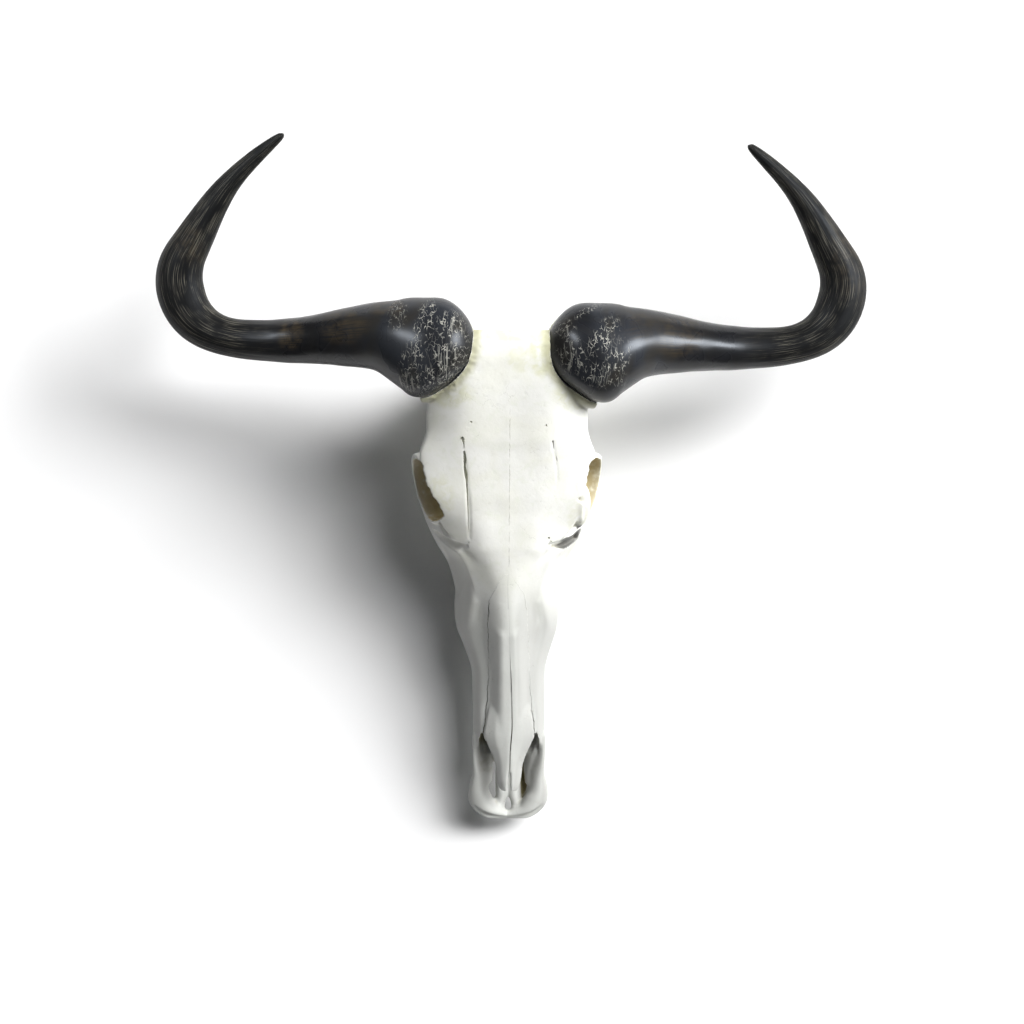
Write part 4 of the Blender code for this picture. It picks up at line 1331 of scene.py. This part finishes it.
def warped(where, size, reach):
    """The place, moved about by noise, so that patterns on it run unevenly."""
    drift = node(where, "TexNoise", {"Vector": where, "Scale": 1 / (size * MM)}).outputs["Color"]
    inputs = {0: drift, 1: (reach * MM,) * 3, 2: where}
    return node(where, "VectorMath", inputs, operation="MULTIPLY_ADD").outputs["Vector"]


def cracks(where, size, width):
    """1 along the edges of cells about `size` millimetres across, in lines of the given width."""
    made = node(where, "TexVoronoi", {"Vector": where, "Scale": 1 / (size * MM)}, feature="DISTANCE_TO_EDGE")
    return step(made.outputs["Distance"], width / size, width / size * 0.3)


def raised(height, strength, distance):
    inputs = {"Height": height, "Strength": strength, "Distance": distance * MM}
    return node(height, "Bump", inputs).outputs["Normal"]


def principled(name):
    made = bpy.data.materials.new(name)
    made.use_nodes = True
    return made, made.node_tree.nodes["Principled BSDF"]


def bone_material():
    """Dry white bone: faint warm and greenish clouds, grime and painted shade in hollows, pits, fine cracks
    and stains.
    """
    made, shader = principled("bone")
    where = own_place(shader)
    marks = [attribute(shader, name) for name in BONE_MARKS]
    hollow, pitted, burr, stain_and_shade, ochre, tear_hollow_shade, yellowed, painted_wall_shade = marks
    speck = grain(where, 0.9, 2)
    cloud = grain(where, 34, 4, 0.6)
    # Painted shade: the bone greys from behind the nose's root forward, so the snout lies darker than the
    # forehead.
    snout_painted_shade = step(along(where, "Y"), -45 * MM, -150 * MM)
    # Grime and painted shade in hollows: the deeper a point lies below its neighbours, the darker.
    hollow_grime_and_shade = calc("MULTIPLY_ADD", speck, 0.3, hollow)
    web = cracks(warped(where, 6, 7), 15, 0.16)
    hairs = product(web, step(grain(where, 22, 3), 0.58, 0.68))
    pores = product(pitted, step(grain(where, 1.6, 2), 0.5, 0.7))
    lines = calc("MAXIMUM", product(hairs, 0.25), product(pores, 0.2))
    lines = calc("MAXIMUM", lines, midline_suture(where))
    colour = coated(
        BONE_WHITE,
        (step(cloud, 0.38, 0.68), BONE_CREAM),
        (product(step(grain(where, 14, 5, 1.0), 0.5, 0.72), 0.5), BONE_GREENISH),
        (product(yellowed, step(grain(where, 9, 5, 0.8), 0.3, 0.62)), BONE_YELLOW),
        # Painted shade on the snout.
        (product(snout_painted_shade, 0.9), BONE_SNOUT_SHADE),
        # Painted shade on walls, by the way they face.
        (product(painted_wall_shade, 0.85), BONE_PAINTED_WALL_SHADE),
        (product(step(grain(where, 5, 5), 0.5, 0.75), 0.07), BONE_DIRT_AND_HOLLOW_SHADE),
        # Grime and painted shade in hollows.
        (product(step(hollow_grime_and_shade, 0.3, 0.95), 0.6), BONE_DIRT_AND_HOLLOW_SHADE),
        # Painted shade, near black, in the deepest hollows.
        (product(step(hollow, 0.7, 1.5), 0.9), BONE_CRACK_AND_HOLLOW_SHADE),
        (product(step(burr, 0.1, 0.75), 0.85), BONE_COLLAR),
        (lines, BONE_CRACK_AND_HOLLOW_SHADE),
        # Stains, and painted shade under the left nostril's slit.
        (step(calc("MULTIPLY_ADD", grain(where, 5, 4), 0.5, stain_and_shade), 0.45, 1.25), BONE_STAIN_AND_SHADE),
        (product(ochre, step(grain(where, 8, 4), 0.1, 0.5), 0.95), BONE_OCHRE),
        # Painted shade in the hollow in front of the left orbit.
        (product(tear_hollow_shade, 0.9), BONE_TEAR_HOLLOW_SHADE),
    )
    height = calc("SUBTRACT", calc("MULTIPLY_ADD", speck, 0.35, grain(where, 2.6, 4)), lines)
    rough = calc("MULTIPLY_ADD", cloud, 0.2, 0.48)
    feed(shader, {"Base Color": colour, "Roughness": rough, "Normal": raised(height, 0.3, 0.35)})
    return made


def midline_suture(where):
    """The faint line down the middle of the forehead."""
    astray = along(warped(where, 4, 1.6), "X")
    ahead = along(warped(where, 4, 1.6), "Y")
    off = calc("ABSOLUTE", calc("SUBTRACT", astray, (MIDLINE_SUTURE_X + 0.8) * MM))
    ends = product(step(ahead, -86 * MM, -70 * MM), step(ahead, 76 * MM, 58 * MM))
    return product(step(off, 0.55 * MM, 0.1 * MM), ends, step(grain(where, 7, 3), 0.35, 0.6), 0.4)


def horn_material():
    """Polished keratin: blue black and brown black, with amber patches, pale fibres and crackled places."""
    made, shader = principled("horn")
    lie = attribute(shader, "lie", "Vector")
    fibre, shaft, crackled, swept, amber = (attribute(shader, name) for name in HORN_MARKS)
    streak = grain(stretched(lie, (1, 1, 0.025)), 0.75, 3, 0.15)
    wide_streak = grain(stretched(lie, (1, 1, 0.12)), 5, 3, 0.4)
    cloud = grain(lie, 26, 2, 0.2)
    deep = product(step(grain(lie, 36, 1, 0.3), 0.4, 0.64), 0.8)
    glow = product(amber, step(grain(lie, 8, 3, 0.2), 0.3, 0.66), step(streak, 0.3, 0.6))
    hairs = product(fibre, step(streak, 0.52, 0.66), step(grain(lie, 20, 3), 0.34, 0.56), 0.8)
    uneven = stretched(warped(lie, 3, 3.6), (0.85, 0.85, 1.15))
    net = product(cracks(uneven, 2.8, 0.16), crackled, step(grain(lie, 3, 3), 0.44, 0.6), 0.95)
    scratch = step(grain(stretched(warped(lie, 24, 8), (0.07, 0.07, 1.5)), 1.1, 2), 0.57, 0.66)
    scratches = product(scratch, step(swept, 0.2, 0.7), step(grain(lie, 9, 2), 0.38, 0.5), 0.45)
    pale = calc("MAXIMUM", net, scratches)
    colour = coated(
        HORN_BLUE,
        (step(cloud, 0.42, 0.66), HORN_BROWN),
        (calc("MAXIMUM", deep, product(shaft, 0.85)), HORN_DEEP),
        (product(fibre, 0.95), HORN_BLACK),
        (product(step(wide_streak, 0.5, 0.75), 0.3), HORN_GREY),
        (glow, HORN_AMBER),
        (hairs, HORN_FIBRE),
        (pale, HORN_PALE),
    )
    rough = calc("MULTIPLY_ADD", cloud, 0.16, 0.2)
    rough = calc("MULTIPLY_ADD", calc("MAXIMUM", pale, product(fibre, 0.8)), 0.35, rough)
    height = calc("MULTIPLY_ADD", product(streak, fibre), 0.8, product(grain(lie, 3, 3), 0.25))
    height = calc("SUBTRACT", height, product(pale, 0.6))
    feed(shader, {"Base Color": colour, "Roughness": rough, "IOR": 1.4, "Normal": raised(height, 0.35, 0.25)})
    return made


def tooth_material():
    """Worn ivory, browner toward the gum and in clouds."""
    made, shader = principled("tooth")
    where = own_place(shader)
    up = product(step(along(where, "Z"), 2 * MM, 18 * MM), 0.5)
    tint = calc("MULTIPLY_ADD", grain(stretched(where, (1, 1, 0.3)), 3, 4), 0.7, up)
    colour = coated(TOOTH_IVORY, (step(tint, 0.3, 0.9), TOOTH_BROWN))
    feed(shader, {"Base Color": colour, "Roughness": 0.3})
    return made


def dressed(obj, name, material, nodes, shift):
    """Puts a finished piece into the scene's frame, on its body, with its material."""
    obj.name = obj.data.name = name
    low, high = (np.array(corner) / MM for corner in CAD_BOX)
    set_points(obj, np.clip(points_of(obj) + np.array(shift), low, high))
    obj.data.materials.clear()
    obj.data.materials.append(material)
    obj.data.shade_smooth()
    obj.data.set_sharp_from_angle(angle=SHARP_EDGE)
    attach(obj, "root")
    if nodes:
        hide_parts(*nodes)
    return obj


def frame_shift():
    """How far the frame lies from the tables' own coordinates, from the box of the right horn."""
    rows = horn_frame(-1, SOLID_RINGS)
    points = [p for place, a, b in rows for p in ellipse(place, a, b, SOLID_SIDES)]
    low = Vector([min(p[i] for p in points) for i in range(3)])
    high = Vector([max(p[i] for p in points) for i in range(3)])
    packed_low, packed_high = (Vector(corner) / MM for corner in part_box("horn_right"))
    return ((packed_low + packed_high) - (low + high)) / 2


def lamp(name, kind, energy, place):
    """A light at a place, which shines on the middle of the scene."""
    obj = new_object(name, bpy.data.lights.new(name, kind))
    obj.data.energy = energy
    obj.location = place
    obj.rotation_euler = place.to_track_quat("Z", "Y").to_euler()
    return obj


def studio():
    """A white floor, one long soft light from the upper right of the view, reflections, and an even fill."""
    bm = bmesh.new()
    bmesh.ops.create_grid(bm, x_segments=1, y_segments=1, size=FLOOR_REACH)
    floor = object_from("floor", bm)
    paint, shader = principled("floor_paint")
    feed(shader, {"Base Color": FLOOR_WHITE, "Roughness": 0.9})
    floor.data.materials.append(paint)

    for name, angle, energy, towards in SUNS:
        sun = lamp(name, "SUN", energy, Vector(towards))
        sun.data.angle = math.radians(angle)
        sun.visible_glossy = False
    for name, towards, wide, tall, energy in PANELS:
        panel = lamp(name, "AREA", energy, Vector(towards).normalized() * PANEL_DISTANCE)
        panel.data.shape = "RECTANGLE"
        panel.data.size, panel.data.size_y = wide, tall
        panel.data.color = PANEL_COLOUR
        panel.visible_diffuse = False

    world = bpy.data.worlds.new("studio")
    world.use_nodes = True
    feed(world.node_tree.nodes["Background"], {"Color": FILL_COLOUR, "Strength": FILL})
    bpy.context.scene.world = world
    bpy.context.scene.view_settings.view_transform = "Standard"


def camera():
    obj = new_object("camera", bpy.data.cameras.new("camera"))
    obj.data.sensor_width = SENSOR
    obj.data.lens = LENS
    back = Vector((-math.sin(CAMERA_TILT), 0, math.cos(CAMERA_TILT)))
    obj.location = CAMERA_TARGET + back * CAMERA_DISTANCE
    obj.rotation_euler = (0, -CAMERA_TILT, 0)
    bpy.context.scene.camera = obj


def build():
    shift = frame_shift()
    bone, enamel, keratin = bone_material(), tooth_material(), horn_material()
    whole = bone_clay()
    wear_down(whole)
    roof = surface_of(whole)
    vessels = channel_cuts(roof, SLITS) + hole_cuts(roof)
    cranium, bones = part_bones(whole)
    for obj in (cranium, *bones.values(), *vessels):
        bend(obj)
    sheaths = {side: sheath(sign) for side, sign in SIDES}
    horns = joined("horns", [new_object("copy", obj.data.copy()) for obj in sheaths.values()])
    for obj in (cranium, *bones.values()):
        weathered(obj, surface_of(horns))
    remove([horns])
    seats = [horn("seat", horn_frame(sign, 120, SEAT), 48) for _, sign in SIDES]
    cranium = boolean(cranium, [floor_block(), *seats, *vessels], "DIFFERENCE")
    dressed(cranium, "bone_cranium", bone, ["cranium"], shift)
    for label, obj in bones.items():
        dressed(obj, "bone_" + label, bone, [label], shift)
    for side, sign in SIDES:
        crowns = joined("teeth", teeth(sign))
        bend(crowns)
        dressed(crowns, "teeth_" + side, enamel, [], shift)
        dressed(sheaths[side], "sheath_" + side, keratin, ["horn_" + side], shift)


build()
studio()
camera()
